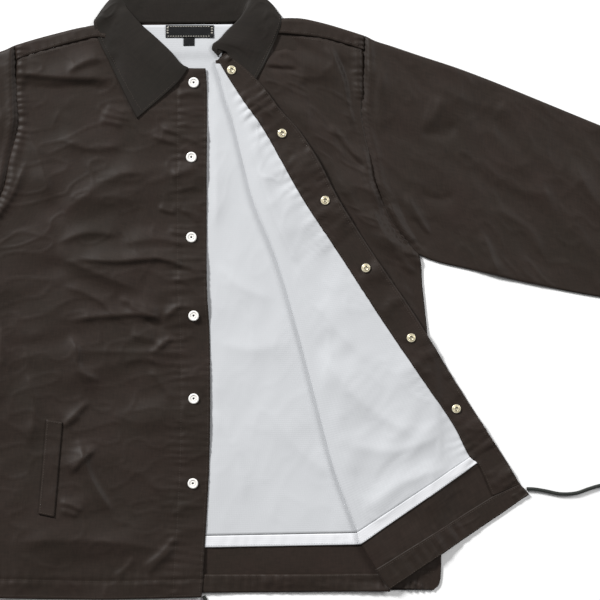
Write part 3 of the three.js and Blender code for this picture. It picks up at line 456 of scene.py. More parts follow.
def grid_normals(grid, wrap=False):
    if wrap:
        across = np.roll(grid, -1, axis=1) - np.roll(grid, 1, axis=1)
    else:
        across = np.gradient(grid, axis=1)
    n = np.cross(across, np.gradient(grid, axis=0))
    return n / np.maximum(np.linalg.norm(n, axis=2, keepdims=True), 1e-9)


def lifted(grid, distance):
    """The grid moved out along its own normals, to the side that faces up at its last column."""
    n = grid_normals(grid)
    if n[len(n) // 2, -1, 2] < 0:
        n = -n
    return grid + n * distance


def build_mesh(name, verts, faces, uvs=None):
    """A mesh object from points in millimetres of the garment's frame."""
    verts = (np.asarray(verts, float) - ORIGIN) * MM
    faces = np.asarray(faces)
    a, b, c = (verts[faces[:, k]] for k in (0, 1, 2))
    volume = np.einsum("ij,ij->i", a, np.cross(b, c)).sum()
    if faces.shape[1] == 4:
        d = verts[faces[:, 3]]
        volume += np.einsum("ij,ij->i", a, np.cross(c, d)).sum()
    if volume < 0:
        faces = faces[:, ::-1]
    mesh = bpy.data.meshes.new(name)
    mesh.from_pydata(verts.tolist(), [], faces.tolist())
    if uvs is not None:
        layer = mesh.uv_layers.new(name="grain")
        loops = np.zeros(len(mesh.loops), np.int32)
        mesh.loops.foreach_get("vertex_index", loops)
        layer.data.foreach_set("uv", (np.asarray(uvs)[loops] * MM).ravel())
    mesh.polygons.foreach_set("use_smooth", np.ones(len(mesh.polygons), bool))
    mesh.update()
    piece = bpy.data.objects.new(name, mesh)
    bpy.context.scene.collection.objects.link(piece)
    return piece


def grain_of(grid):
    """Lengths along the cloth's rows and columns, for the weave."""
    rows, columns = grid.shape[:2]
    step_u = np.linalg.norm(np.diff(grid[rows // 2], axis=0), axis=1)
    step_v = np.linalg.norm(np.diff(grid[:, columns // 2], axis=0), axis=1)
    u = np.concatenate([[0], np.cumsum(step_u)])
    v = np.concatenate([[0], np.cumsum(step_v)])
    return np.stack(np.meshgrid(u, v), axis=2).reshape(-1, 2)


def wall(name, grid, thickness=CLOTH, wrap=False):
    """A closed wall of even thickness about a grid of points."""
    rows, columns = grid.shape[:2]
    half = grid_normals(grid, wrap) * thickness / 2
    verts = np.concatenate([(grid + half).reshape(-1, 3), (grid - half).reshape(-1, 3)])
    verts[:, 2] = np.maximum(verts[:, 2], 0.02)
    spans = columns if wrap else columns - 1
    index = np.arange(rows * columns).reshape(rows, columns)
    follow = np.roll(index, -1, axis=1)
    a, b = index[:-1, :spans], follow[:-1, :spans]
    c, d = follow[1:, :spans], index[1:, :spans]
    count = rows * columns
    quads = [np.stack([a, b, c, d], -1).reshape(-1, 4),
             np.stack([a, d, c, b], -1).reshape(-1, 4) + count]

    def rim(line):
        p, q = line[:-1], line[1:]
        return np.stack([p, p + count, q + count, q], -1)

    close = [index[0, 0]] if wrap else []
    quads.append(rim(np.concatenate([index[0], close]).astype(int)))
    close = [index[-1, 0]] if wrap else []
    quads.append(rim(np.concatenate([index[-1], close]).astype(int)[::-1]))
    if not wrap:
        quads.append(rim(index[:, -1]))
        quads.append(rim(index[:, 0][::-1]))
    grain = grain_of(grid)
    return build_mesh(name, verts, np.concatenate(quads), np.concatenate([grain, grain]))


# Relief: creases, crinkles, puckers and stitched-down lines, all heights in millimetres


def to_line(x, y, line):
    """Signed distance to a polyline, left side above 0, and the run along it, each point."""
    p = np.asarray(line, float)
    flat = np.stack([np.ravel(x), np.ravel(y)], 1)
    best = np.full(len(flat), 1e9)
    signed = np.zeros(len(flat))
    run = np.zeros(len(flat))
    start = 0.0
    for a, b in zip(p[:-1], p[1:]):
        d = b - a
        length = max(np.hypot(*d), 1e-6)
        t = np.clip(((flat - a) @ d) / length ** 2, 0, 1)
        off = flat - a - t[:, None] * d
        away = np.hypot(off[:, 0], off[:, 1])
        side = np.where(d[0] * (flat[:, 1] - a[1]) - d[1] * (flat[:, 0] - a[0]) < 0, -1.0, 1.0)
        near = away < best
        best = np.where(near, away, best)
        signed = np.where(near, away * side, signed)
        run = np.where(near, start + t * length, run)
        start += length
    shape = np.shape(x)
    return signed.reshape(shape), run.reshape(shape), start


CREASE_EDGE = 1.3


def crease_rise(x, y, table):
    total = np.zeros(np.shape(x))
    for points, height, left, right in table:
        line = along(points, np.linspace(0, 1, 9))
        away, run, length = to_line(x, y, line)
        width = np.where(away > 0, left, right)
        share = run / length
        fade = smooth(share / 0.28 + 0.12) * smooth((1 - share) / 0.28 + 0.12)
        total += height * fade * np.exp(-np.abs(away / width) ** CREASE_EDGE)
    return total


class Crinkle:
    """Seeded lattice noise, so each run gives the same cloth."""

    def __init__(self, seed):
        self.lattice = np.random.default_rng(seed).uniform(-1, 1, (128, 128))

    def at(self, x, y):
        i, j = np.floor(x).astype(int), np.floor(y).astype(int)
        u, v = smooth(x - i), smooth(y - j)
        g = self.lattice
        a, b = g[i % 128, j % 128], g[(i + 1) % 128, j % 128]
        c, d = g[i % 128, (j + 1) % 128], g[(i + 1) % 128, (j + 1) % 128]
        return (a * (1 - u) + b * u) * (1 - v) + (c * (1 - u) + d * u) * v


CRINKLES = Crinkle(11)


def crinkle_rise(x, y, turn=0.0, amount=1.0):
    """Soft waves with fine sharp ridges across them, as crisp taffeta takes."""
    c, s = math.cos(turn), math.sin(turn)
    p, q = x * c + y * s, -x * s + y * c
    warp = 9 * CRINKLES.at(p / 47 + 3, q / 39 + 8)
    broad = CRINKLES.at((p + warp) / 82 + 20, q / 40 + 11)
    middle = CRINKLES.at((p + warp) / 37 + 40, (q + warp) / 18 + 31)
    ridged = 1 - 2 * np.abs(CRINKLES.at((p + warp) / 31 + 60, (q - warp) / 14 + 51))
    sharp = np.clip(ridged, 0, 1) ** 3
    height = sizes().crinkle / MM
    return amount * height * (2.7 * broad + 1.1 * middle + 0.8 * sharp)


def rests_on(z, floor, soft=0.3):
    """The height, eased on to the layer under it."""
    return floor + soft * np.logaddexp(0, (z - floor) / soft)


def seam_dip(x, y, line, depth=0.9, width=2.4):
    """The cloth is drawn down along a stitched line."""
    away, _, _ = to_line(x, y, line)
    return -depth * np.exp(-(away / width) ** 2)


def pucker_rise(x, y, line, pitch=8.6, reach=10.0, amount=1.0):
    """Uneven gathers that cross a seam and die out beside it."""
    away, run, _ = to_line(x, y, line)
    phase = 2 * np.pi * run / pitch + 2.2 * CRINKLES.at(run / 21 + 5, away / 60 + 9)
    strength = 0.65 + 0.5 * CRINKLES.at(run / 34 + 17, away * 0 + 3.5)
    height = sizes().pucker / MM
    return amount * height * strength * np.sin(phase) * np.exp(-(np.abs(away) / reach) ** 1.4)


ARMHOLE_LEFT = along(ARMHOLE, np.linspace(0, 1, 40))
ARMHOLE_RIGHT = mirrored(ARMHOLE_LEFT)


def neck_rise(x, y):
    return NECK_RISE * smooth((y - 684) / 14) * smooth((152 - np.abs(x)) / 28)


def back_height(x, y):
    return BACK_HEIGHT + neck_rise(x, y)


def front_rest(x, y):
    inside = np.where(y < UNDERARM_Y, (side_at(y) - np.abs(x)) / 34, 1)
    return SIDE_HEIGHT + (FRONT_HEIGHT - SIDE_HEIGHT) * smooth(inside)


def armhole_shape(x, y, line):
    """The cloth rolls down into the armhole seam, with puckers beside it."""
    away, _, _ = to_line(x, y, line)
    reach = np.abs(away)
    roll = 1.5 * np.exp(-((reach - 7) / 5) ** 2) - 1.1 * np.exp(-(reach / 2.6) ** 2)
    return roll + pucker_rise(x, y, line)


PLACKET_LINE = np.array([(x - PLACKET_WIDTH, y) for x, y in RIGHT_EDGE], float)
RIGHT_CHANNEL_LINE = np.array([(-312, 36), (-250, 27), (-120, 24), (-60, 25), (15, 27)], float)
LEFT_CHANNEL_LINE = np.array([(250, 38), (285, 36.5), (312, 36)], float)
RIGHT_YOKE_SEAM = np.array(YOKE_RIGHT["seam"], float)
LEFT_YOKE_SEAM = np.array(YOKE_LEFT["seam"], float)
COLLAR_LEAF_RIGHT = [(-5, 677), (-67, 611), (-79, 633), (-101, 681), (-120, 724), (-90, 735)]
COLLAR_LEAF_LEFT = [(40, 692), (64, 616), (82, 650), (96, 680), (111, 716), (114, 730)]


def inside_shape(x, y, outline):
    """1 inside a convex outline, falling to 0 outside it."""
    p = np.asarray(outline, float)
    centre = p.mean(0)
    worst = np.full(np.shape(x), -1e9)
    for a, b in zip(p, np.roll(p, -1, axis=0)):
        n = np.array([b[1] - a[1], a[0] - b[0]])
        n = n / max(np.hypot(*n), 1e-6)
        if (centre - a) @ n > 0:
            n = -n
        worst = np.maximum(worst, (x - a[0]) * n[0] + (y - a[1]) * n[1])
    return 1 - smooth(worst / 8 + 0.5)


def right_front_height(x, y):
    placket = smooth((x - np.interp(y, [4, 254, 674], [-22, -11, -16])) / 4)
    creases = 1.35 * crease_rise(x, y, RIGHT_FRONT_CREASES)
    free = 1 - 0.85 * inside_shape(x, y, COLLAR_LEAF_RIGHT)
    z = front_rest(x, y) + (creases * (1 - 0.45 * placket) + crinkle_rise(x, y, 0.2)) * free
    z += 0.25 * placket + seam_dip(x, y, PLACKET_LINE, 0.4, 1.8)
    z += 0.7 * smooth((x + 90) / 40) * smooth((20 - x) / 18)
    z += seam_dip(x, y, RIGHT_CHANNEL_LINE, 0.9) + pucker_rise(x, y, RIGHT_CHANNEL_LINE, 13, 9, 0.5)
    z += seam_dip(x, y, RIGHT_YOKE_SEAM, 0.9) + pucker_rise(x, y, PLACKET_LINE, 10, 13, 0.4)
    z += pucker_rise(x, y, RIGHT_EDGE, 8, 9, 0.3)
    floor = 2.0 + 1.25 * smooth((x + 72) / 12)
    return rests_on(z + armhole_shape(x, y, ARMHOLE_RIGHT), floor)


FLAP_OUTLINE = np.vstack([
    along(FLAP["edge"], np.linspace(0, 1, 40)), [(396, 110), (254, 15), (238, 2)]])
FLAP_CHANNEL_LINE = np.array([(245, 28), (390, 121), (425, 141)], float)


def flap_cover(x, y):
    """1 under the flipped front, 0 clear of it."""
    away, _, _ = to_line(x, y, FLAP_OUTLINE)
    return 1 - smooth((away - 1) / 12)


def left_front_height(x, y):
    free = (1 - flap_cover(x, y)) * (1 - 0.85 * inside_shape(x, y, COLLAR_LEAF_LEFT))
    creases = 1.2 * crease_rise(x, y, LEFT_FRONT_CREASES + ARMPIT_CREASES)
    z = front_rest(x, y) + (creases + crinkle_rise(x, y, -0.5, 1.4)) * free
    z += seam_dip(x, y, LEFT_YOKE_SEAM, 0.9)
    z += seam_dip(x, y, LEFT_CHANNEL_LINE, 0.9) * free
    z += pucker_rise(x, y, [(235, 14), (285, 13.5), (312, 13)], 9, 16, 1.0) * free
    return rests_on(z + armhole_shape(x, y, ARMHOLE_LEFT), 2.0)


def flap_height(x, y, from_fold):
    outside = np.where(y < UNDERARM_Y, x - side_at(y), -100)
    rest = FLAP_HEIGHT + (CLOTH / 2 - FLAP_HEIGHT) * smooth((outside + 10) / 40)
    over_fold = (FOLD_HEIGHT - FLAP_HEIGHT) * (1 - smooth(from_fold / 45))
    return rest + np.maximum(over_fold, COLLAR_RISE * smooth((y - COLLAR_TIP_Y + 45) / 45))


def flap_relief(x, y):
    """Soft waves of the lining side, and puckers across the facing's inner seam."""
    seam = along(FLAP["facing"], np.linspace(0, 1, 40))
    edge = along(FLAP["edge"], np.linspace(0, 1, 40))
    z = 2.0 * crease_rise(x, y, LINING_CREASES) + crinkle_rise(x, y, 0.9, 0.9)
    z += pucker_rise(x, y, seam, 13, 12, 0.7) + pucker_rise(x, y, edge, 13, 13, 0.85)
    z += pucker_rise(x, y, FLAP_CHANNEL_LINE, 14, 13, 0.7)
    beyond, _, _ = to_line(x, y, seam)
    z += 1.1 * crinkle_rise(1.7 * x, 1.7 * y, 0.6) * smooth(beyond / 8)
    return rests_on(z, -0.9)


# Materials


def add_node(tree, kind, inputs=None, **settings):
    """Adds one node; an input given as a socket is linked, any other is set."""
    made = tree.nodes.new(kind)
    for key, value in settings.items():
        setattr(made, key, value)
    for key, value in (inputs or {}).items():
        if isinstance(value, bpy.types.NodeSocket):
            tree.links.new(value, made.inputs[key])
        else:
            made.inputs[key].default_value = value
    return made


def new_material(name):
    material = bpy.data.materials.new(name)
    material.use_nodes = True
    tree = material.node_tree
    tree.nodes.clear()
    return material, tree


def finish_material(tree, shader_inputs, bump=None):
    shader = add_node(tree, "ShaderNodeBsdfPrincipled", shader_inputs)
    if bump is not None:
        tree.links.new(bump, shader.inputs["Normal"])
    output = add_node(tree, "ShaderNodeOutputMaterial")
    tree.links.new(shader.outputs["BSDF"], output.inputs["Surface"])


def woven_height(tree, across, down, twist=0.0):
    """Warp and weft as two crossing waves, spaced in millimetres."""
    place = add_node(tree, "ShaderNodeUVMap", uv_map="grain")
    turned = add_node(tree, "ShaderNodeMapping", {
        "Vector": place.outputs["UV"], "Rotation": (0, 0, twist)})
    parts = []
    for axis, spacing in (("X", across), ("Y", down)):
        wave = add_node(tree, "ShaderNodeTexWave", {
            "Vector": turned.outputs["Vector"], "Scale": 0.314 / (spacing * MM),
            "Distortion": 0.6, "Detail": 1.0, "Detail Scale": 2.0}, bands_direction=axis)
        parts.append(wave.outputs["Fac"])
    mixed = add_node(tree, "ShaderNodeMath", {0: parts[0], 1: parts[1]}, operation="ADD")
    return mixed.outputs["Value"], turned.outputs["Vector"]


def nylon_taffeta(name, colour, roughness):
    """Nylon taffeta: a tight plain weave of bright filament, so a satin sheen over a dark ground."""
    material, tree = new_material(name)
    # The real threads lie about 0.15 mm apart; they are drawn at 0.9 mm so that the grain shows.
    weave, place = woven_height(tree, 0.9, 0.9)
    cloud = add_node(tree, "ShaderNodeTexNoise", {
        "Vector": place, "Scale": 14.0, "Detail": 3.0, "Roughness": 0.55})
    slub = add_node(tree, "ShaderNodeTexNoise", {
        "Vector": place, "Scale": 420.0, "Detail": 2.0, "Roughness": 0.6})
    olive = (colour[0] * 0.80, colour[1] * 0.90, colour[2] * 0.80, 1.0)
    russet = (colour[0] * 1.24, colour[1] * 1.10, colour[2] * 1.16, 1.0)
    ground = add_node(tree, "ShaderNodeMix", {
        "Factor": cloud.outputs["Fac"], "A": olive, "B": russet}, data_type="RGBA")
    # Uneven threads show as faint streaks both ways, drawn about 2 mm wide
    threads = []
    for stretch in ((80, 520, 1), (520, 80, 1)):
        turned = add_node(tree, "ShaderNodeMapping", {"Vector": place, "Scale": stretch})
        streak = add_node(tree, "ShaderNodeTexNoise", {
            "Vector": turned.outputs["Vector"], "Scale": 1.0, "Detail": 2.0})
        threads.append(streak.outputs["Fac"])
    streaks = add_node(tree, "ShaderNodeMath", {0: threads[0], 1: threads[1]}, operation="ADD")
    shade = add_node(tree, "ShaderNodeMapRange", {
        "Value": streaks.outputs["Value"], "From Min": 0.6, "From Max": 1.4, "To Min": 0.78,
        "To Max": 1.22})
    tone = add_node(tree, "ShaderNodeVectorMath", {
        0: ground.outputs["Result"], "Scale": shade.outputs["Result"]}, operation="SCALE")
    height = add_node(tree, "ShaderNodeMath", {
        0: weave, 1: 0.5, 2: slub.outputs["Fac"]}, operation="MULTIPLY_ADD")
    bump = add_node(tree, "ShaderNodeBump", {
        "Strength": 0.10, "Distance": 0.25 * MM, "Height": height.outputs["Value"]})
    finish_material(tree, {
        "Base Color": tone.outputs["Vector"], "Roughness": roughness, "IOR": 1.5,
        "Specular IOR Level": 0.22, "Sheen Weight": 0.03, "Sheen Roughness": 0.4,
        "Sheen Tint": (0.8, 0.72, 0.68, 1.0)}, bump.outputs["Normal"])
    return material


def brushed_tricot(name, colour):
    """Brushed polyester tricot: fine upright wales under a short raised nap, quite matt."""
    material, tree = new_material(name)
    # The real wales lie about 0.7 mm apart; they are drawn at 1.9 mm so that they show.
    wales, place = woven_height(tree, 1.9, 2.6)
    nap = add_node(tree, "ShaderNodeTexNoise", {
        "Vector": place, "Scale": 900.0, "Detail": 2.0, "Roughness": 0.7})
    cloud = add_node(tree, "ShaderNodeTexNoise", {
        "Vector": place, "Scale": 9.0, "Detail": 2.0, "Roughness": 0.5})
    grain = add_node(tree, "ShaderNodeMath", {
        0: wales, 1: 0.35, 2: nap.outputs["Fac"]}, operation="MULTIPLY_ADD")
    blend = add_node(tree, "ShaderNodeMath", {
        0: grain.outputs["Value"], 1: 0.55, 2: cloud.outputs["Fac"]}, operation="MULTIPLY_ADD")
    level = add_node(tree, "ShaderNodeMapRange", {
        "Value": blend.outputs["Value"], "From Min": 0.55, "From Max": 1.25})
    low = tuple(c * 0.94 for c in colour[:3]) + (1.0,)
    tone = add_node(tree, "ShaderNodeMix", {
        "Factor": level.outputs["Result"], "A": low, "B": tuple(colour)}, data_type="RGBA")
    bump = add_node(tree, "ShaderNodeBump", {
        "Strength": 0.2, "Distance": 0.4 * MM, "Height": grain.outputs["Value"]})
    finish_material(tree, {
        "Base Color": tone.outputs["Result"], "Roughness": 0.95, "Specular IOR Level": 0.25,
        "Sheen Weight": 0.25, "Sheen Roughness": 0.5}, bump.outputs["Normal"])
    return material


def damask(name, colour):
    """Woven damask: fine satin threads, slightly shiny across the label."""
    material, tree = new_material(name)
    weave, place = woven_height(tree, 0.6, 0.8)
    bump = add_node(tree, "ShaderNodeBump", {
        "Strength": 0.3, "Distance": 0.15 * MM, "Height": weave})
    fleck = add_node(tree, "ShaderNodeTexNoise", {"Vector": place, "Scale": 700.0})
    light = tuple(min(c * 1.8 + 0.01, 1) for c in colour[:3]) + (1.0,)
    tone = add_node(tree, "ShaderNodeMix", {
        "Factor": fleck.outputs["Fac"], "A": tuple(colour), "B": light}, data_type="RGBA")
    finish_material(tree, {"Base Color": tone.outputs["Result"], "Roughness": 0.6,
                           "Specular IOR Level": 0.15}, bump.outputs["Normal"])
    return material


def spun_thread(name, colour, roughness=0.6):
    """Core-spun polyester sewing thread: two twisted plies with a dull lustre."""
    material, tree = new_material(name)
    place = add_node(tree, "ShaderNodeTexCoord")
    twist = add_node(tree, "ShaderNodeTexWave", {
        "Vector": place.outputs["Object"], "Scale": 0.314 / (0.6 * MM), "Distortion": 1.0},
        bands_direction="DIAGONAL")
    bump = add_node(tree, "ShaderNodeBump", {
        "Strength": 0.3, "Distance": 0.1 * MM, "Height": twist.outputs["Fac"]})
    finish_material(tree, {"Base Color": tuple(colour), "Roughness": roughness},
                    bump.outputs["Normal"])
    return material


def enamelled_brass(name, colour):
    """Stove-enamelled snap cap: a thick glossy coat that softens every edge."""
    material, tree = new_material(name)
    place = add_node(tree, "ShaderNodeTexCoord")
    flow = add_node(tree, "ShaderNodeTexNoise", {
        "Vector": place.outputs["Object"], "Scale": 260.0, "Detail": 2.0})
    bump = add_node(tree, "ShaderNodeBump", {
        "Strength": 0.12, "Distance": 0.2 * MM, "Height": flow.outputs["Fac"]})
    finish_material(tree, {
        "Base Color": tuple(colour), "Roughness": 0.32, "Coat Weight": 0.4,
        "Coat Roughness": 0.12}, bump.outputs["Normal"])
    return material


def plated_brass(name, colour, roughness):
    """Pale plated brass, pressed and tumbled: soft small scratches over a warm shine."""
    material, tree = new_material(name)
    place = add_node(tree, "ShaderNodeTexCoord")
    tumble = add_node(tree, "ShaderNodeTexNoise", {
        "Vector": place.outputs["Object"], "Scale": 1500.0, "Detail": 3.0})
    bump = add_node(tree, "ShaderNodeBump", {
        "Strength": 0.2, "Distance": 0.05 * MM, "Height": tumble.outputs["Fac"]})
    finish_material(tree, {
        "Base Color": tuple(colour), "Metallic": 0.6, "Roughness": roughness},
        bump.outputs["Normal"])
    return material


def braided_polyester(name, colour):
    """Braided polyester cord: crossing diagonal plaits with a dull lustre."""
    material, tree = new_material(name)
    place = add_node(tree, "ShaderNodeTexCoord")
    plaits = []
    for direction in ((1, 1, 0.4), (1, -1, 0.4)):
        turned = add_node(tree, "ShaderNodeMapping", {
            "Vector": place.outputs["Object"], "Scale": direction})
        wave = add_node(tree, "ShaderNodeTexWave", {
            "Vector": turned.outputs["Vector"], "Scale": 0.314 / (1.6 * MM)},
            bands_direction="DIAGONAL")
        plaits.append(wave.outputs["Fac"])
    braid = add_node(tree, "ShaderNodeMath", {0: plaits[0], 1: plaits[1]}, operation="MAXIMUM")
    low = tuple(c * 0.5 for c in colour[:3]) + (1.0,)
    tone = add_node(tree, "ShaderNodeMix", {
        "Factor": braid.outputs["Value"], "A": low, "B": tuple(colour)}, data_type="RGBA")
    bump = add_node(tree, "ShaderNodeBump", {
        "Strength": 0.6, "Distance": 0.4 * MM, "Height": braid.outputs["Value"]})
    finish_material(tree, {"Base Color": tone.outputs["Result"], "Roughness": 0.7},
                    bump.outputs["Normal"])
    return material


def photo_paper(name):
    """Seamless white background paper: matt, nearly white."""
    material, tree = new_material(name)
    place = add_node(tree, "ShaderNodeTexCoord")
    tooth = add_node(tree, "ShaderNodeTexNoise", {
        "Vector": place.outputs["Object"], "Scale": 900.0, "Detail": 2.0})
    bump = add_node(tree, "ShaderNodeBump", {
        "Strength": 0.05, "Distance": 0.1 * MM, "Height": tooth.outputs["Fac"]})
    finish_material(tree, {"Base Color": linear("#FCFCFC"), "Roughness": 0.95,
                           "Specular IOR Level": 0.1}, bump.outputs["Normal"])
    return material


MATERIALS = {}


def material(key):
    """Each finish is made once, when a piece first needs it."""
    if key not in MATERIALS:
        c = colours()
        makers = {
            "shell": lambda: nylon_taffeta("nylon_taffeta", tuple(c.shell), 0.56),
            "collar": lambda: nylon_taffeta("nylon_taffeta_interlined", tuple(c.collar), 0.64),
            "lining": lambda: brushed_tricot("brushed_tricot", tuple(c.lining)),
            "lining_hem": lambda: brushed_tricot("tricot_turned_hem", tuple(c.band)),
            "label": lambda: damask("woven_damask", tuple(c.label)),
            "label_border": lambda: spun_thread("label_border_thread", linear("#C9C5BA")),
            "thread": lambda: spun_thread("sewing_thread", linear("#3A3028")),
            "pale_thread": lambda: spun_thread("lining_thread", linear("#C3C6CC")),
            "stud": lambda: enamelled_brass("enamelled_brass", tuple(c.enamel)),
            # A dark disc in each stud's hollow centre: painted shade for the hole, which falls dark
            "centre_shade": lambda: plated_brass("stud_centre_painted_shade", linear("#2B2824"), 0.6),
            "spring": lambda: plated_brass("spring_wire", linear("#6F6757"), 0.4),
            "socket": lambda: plated_brass("plated_brass", tuple(c.plating), 0.34),
            "cord": lambda: braided_polyester("braided_polyester", tuple(c.cord)),
            "paper": lambda: photo_paper("background_paper"),
        }
        MATERIALS[key] = makers[key]()
    return MATERIALS[key]


def dress(piece, nodes, slot, finish=None):
    """Rides the piece on the garment's one body, in place of its solids, with its finish."""
    piece.data.materials.clear()
    piece.data.materials.append(material(finish or slot))
    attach(piece, "root")
    if nodes:
        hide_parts(*nodes)
    return piece


# Pieces


def panel_grid(plan, height):
    return np.dstack([plan, height(plan[..., 0], plan[..., 1])])


def shares_of(length, coarser=1.0):
    count = max(int(round(length * MM / (sizes().mesh_step * coarser))), 1)
    return np.linspace(0, 1, count + 1)


def strip_between(top, foot, us, vs):
    """The plan of a strip between two lines, with straight ends."""
    return coons(top, foot, [top[0], foot[0]], [top[-1], foot[-1]], us, vs)


def cloth(name, slot, grid, *thick, wrap=False):
    """A sheet of the garment that stands in for the solid of the same name."""
    return dress(wall(name, grid, *thick, wrap=wrap), [name], slot)


def tube_faces(base, rings, sides):
    """The faces of an open tube whose rings of points follow one another from base."""
    faces = []
    for start in range(base, base + (rings - 1) * sides, sides):
        for i in range(sides):
            j = (i + 1) % sides
            faces.append([start + i, start + j, start + sides + j, start + sides + i])
    return faces


STITCH_SIDES = 6
# Five rings of each stitch: where along the pitch, how thick and how high, in shares
STITCH_ALONG = np.array([0.14, 0.3, 0.5, 0.7, 0.86])
STITCH_ROUND = (0.35, 0.9, 1.0, 0.9, 0.35)
STITCH_RISE = (-0.5, 0.1, 0.3, 0.1, -0.5)


def stitches(name, lines, lift, nodes, slot, finish="thread", thicker=1.0):
    """Short thread pieces along lines of points, each sunk a little at both its ends."""
    pitch, width = sizes().stitch_pitch / MM, sizes().stitch_width * thicker / MM
    verts, faces = [], []
    turn = np.linspace(0, 2 * np.pi, STITCH_SIDES, endpoint=False)
    for line in lines:
        line = np.asarray(line, float)
        run = np.concatenate([[0], np.cumsum(np.linalg.norm(np.diff(line, axis=0), axis=1))])
        count = int(run[-1] / pitch)
        for k in range(count):
            stations = (k + STITCH_ALONG) * pitch
            spots = np.stack([np.interp(stations, run, line[:, i]) for i in range(3)], 1)
            ahead = spots[-1] - spots[0]
            ahead /= max(np.linalg.norm(ahead), 1e-6)
            side = np.cross([0, 0, 1], ahead)
            side /= max(np.linalg.norm(side), 1e-6)
            up = np.cross(ahead, side)
            base = len(verts)
            for spot, share, rise in zip(spots, STITCH_ROUND, STITCH_RISE):
                centre = spot + up * (lift + rise * width)
                for a in turn:
                    verts.append(centre + share * width / 2 * (side * np.cos(a) + up * np.sin(a)))
            faces += tube_faces(base, len(STITCH_ROUND), STITCH_SIDES)
    dress(build_mesh(name, verts, faces), nodes, slot, finish)


def on_height(line, height, count=400):
    """A plan line laid on a panel's height."""
    p = along(line, np.linspace(0, 1, count))
    return np.column_stack([p, height(p[:, 0], p[:, 1])])


def back_shape(x, y):
    rise = crinkle_rise(x, y, 0.1, 0.25)
    return back_height(x, y) + np.clip(rise, -0.05, 0.35)


def back_piece():
    columns, rows = shares_of(620, 2.2), shares_of(720, 1.6)
    rows = np.unique(np.concatenate([rows, np.linspace(0, 0.07, 14)]))
    plan = coons(BACK_TOP, BACK_HEM, body_side(True, BACK_TOP[0]), body_side(False, BACK_TOP[-1]),
                 columns, rows)
    piece = cloth("back", "shell", panel_grid(plan, back_shape))


def lining_shape(x, y):
    """The back's lining waves gently where it lies bare between the fronts."""
    fold = np.interp(y, [15, 87.5, 254, 428, 508, 552, 609, 632, 669],
                     [254, 213, 161, 113, 81, 70, 55, 47, 38])
    bare = smooth((x - 22) / 14) * smooth((fold - x) / 16)
    neck = smooth((y - 672) / 20)
    bare = np.maximum(bare, neck * 0.6)
    waves = 1.2 * crease_rise(x, y, BACK_CREASES) + crinkle_rise(x, y, 1.2, 0.5) + 0.5
    return back_height(x, y) + LINING_LIFT + rests_on(waves, -0.05) * bare


def back_lining_pieces():
    columns = shares_of(230, 1.3)
    plan = coons([LINING_LEFT[0], (0, 730), LINING_RIGHT[0]], [LINING_LEFT[-1], LINING_RIGHT[-1]],
                 LINING_LEFT, LINING_RIGHT, columns, shares_of(650, 1.2))
    piece = cloth("back_lining", "lining", panel_grid(plan, lining_shape))

    top = [(x, y - 0.3) for x, y in (LINING_LEFT[-1], LINING_RIGHT[-1])]
    foot = [(x, y - BAND_DEPTH) for x, y in top]

    def band_height(x, y):
        turned = smooth((y - foot[0][1]) / 3) * smooth((top[0][1] + 4 - y) / 5)
        return lining_shape(x, y) + 0.3 * turned + pucker_rise(x, y, [(0, 74), (232, 78)], 16, 9, 0.35)

    plan = strip_between(top, foot, shares_of(232), shares_of(15, 0.5))
    piece = cloth("back_lining_hem", "lining_hem", panel_grid(plan, band_height))
    stitch_line = [on_height([(0, foot[0][1] + 2.5), (231, foot[1][1] + 2.5)], band_height)]
    stitches("lining_hem_stitching", stitch_line, CLOTH / 2, [], "lining_hem", "pale_thread")


def back_channel_height(x, y):
    seam = 0.5 * np.exp(-((y - 30) / 2.5) ** 2)
    pleat = crease_rise(x, y, BACK_CREASES) * smooth((x - 12) / 8)
    gather = pucker_rise(x, y, [(5, 22), (260, 24)], 13, 12, 1.0) + crinkle_rise(x, 2 * y, 0.1)
    return BACK_HEIGHT + LINING_LIFT + seam + rests_on(2 * pleat + gather + 0.9, -0.1)


def back_channel_piece():
    top = [(4.5, 33), (254, 34)]
    foot = [(4.5, 9.5), (254, 11.5)]
    plan = strip_between(top, foot, shares_of(250), shares_of(23, 0.8))
    piece = cloth("back_hem_channel", "shell", panel_grid(plan, back_channel_height))
    line = [on_height([(6, 31), (253, 32)], back_channel_height)]
    stitches("back_channel_stitching", line, CLOTH / 2, [], "shell")


def right_front_piece():
    plan = coons(RIGHT_NECK, RIGHT_HEM, body_side(True, RIGHT_NECK[0]), RIGHT_EDGE,
                 shares_of(330, 0.76), shares_of(690, 0.76))
    piece = cloth("front_right", "shell", panel_grid(plan, right_front_height))
    edge = [(x - 3.2, y) for x, y in RIGHT_EDGE]
    yoke = [(x, y - 5) for x, y in YOKE_RIGHT["seam"]]
    lines = [edge, PLACKET_LINE, RIGHT_CHANNEL_LINE[1:], yoke,
             [(x, y + 3) for x, y in RIGHT_HEM[1:]]]
    stitches("front_right_stitching", [on_height(line, right_front_height) for line in lines],
             CLOTH / 2, [], "shell")


ROWS_PER_SECTION = 19
HOLLOW_ROWS = 11
UNDER_COLUMNS, ARC_COLUMNS, LINING_COLUMNS, FACING_COLUMNS = 62, 9, 58, 18


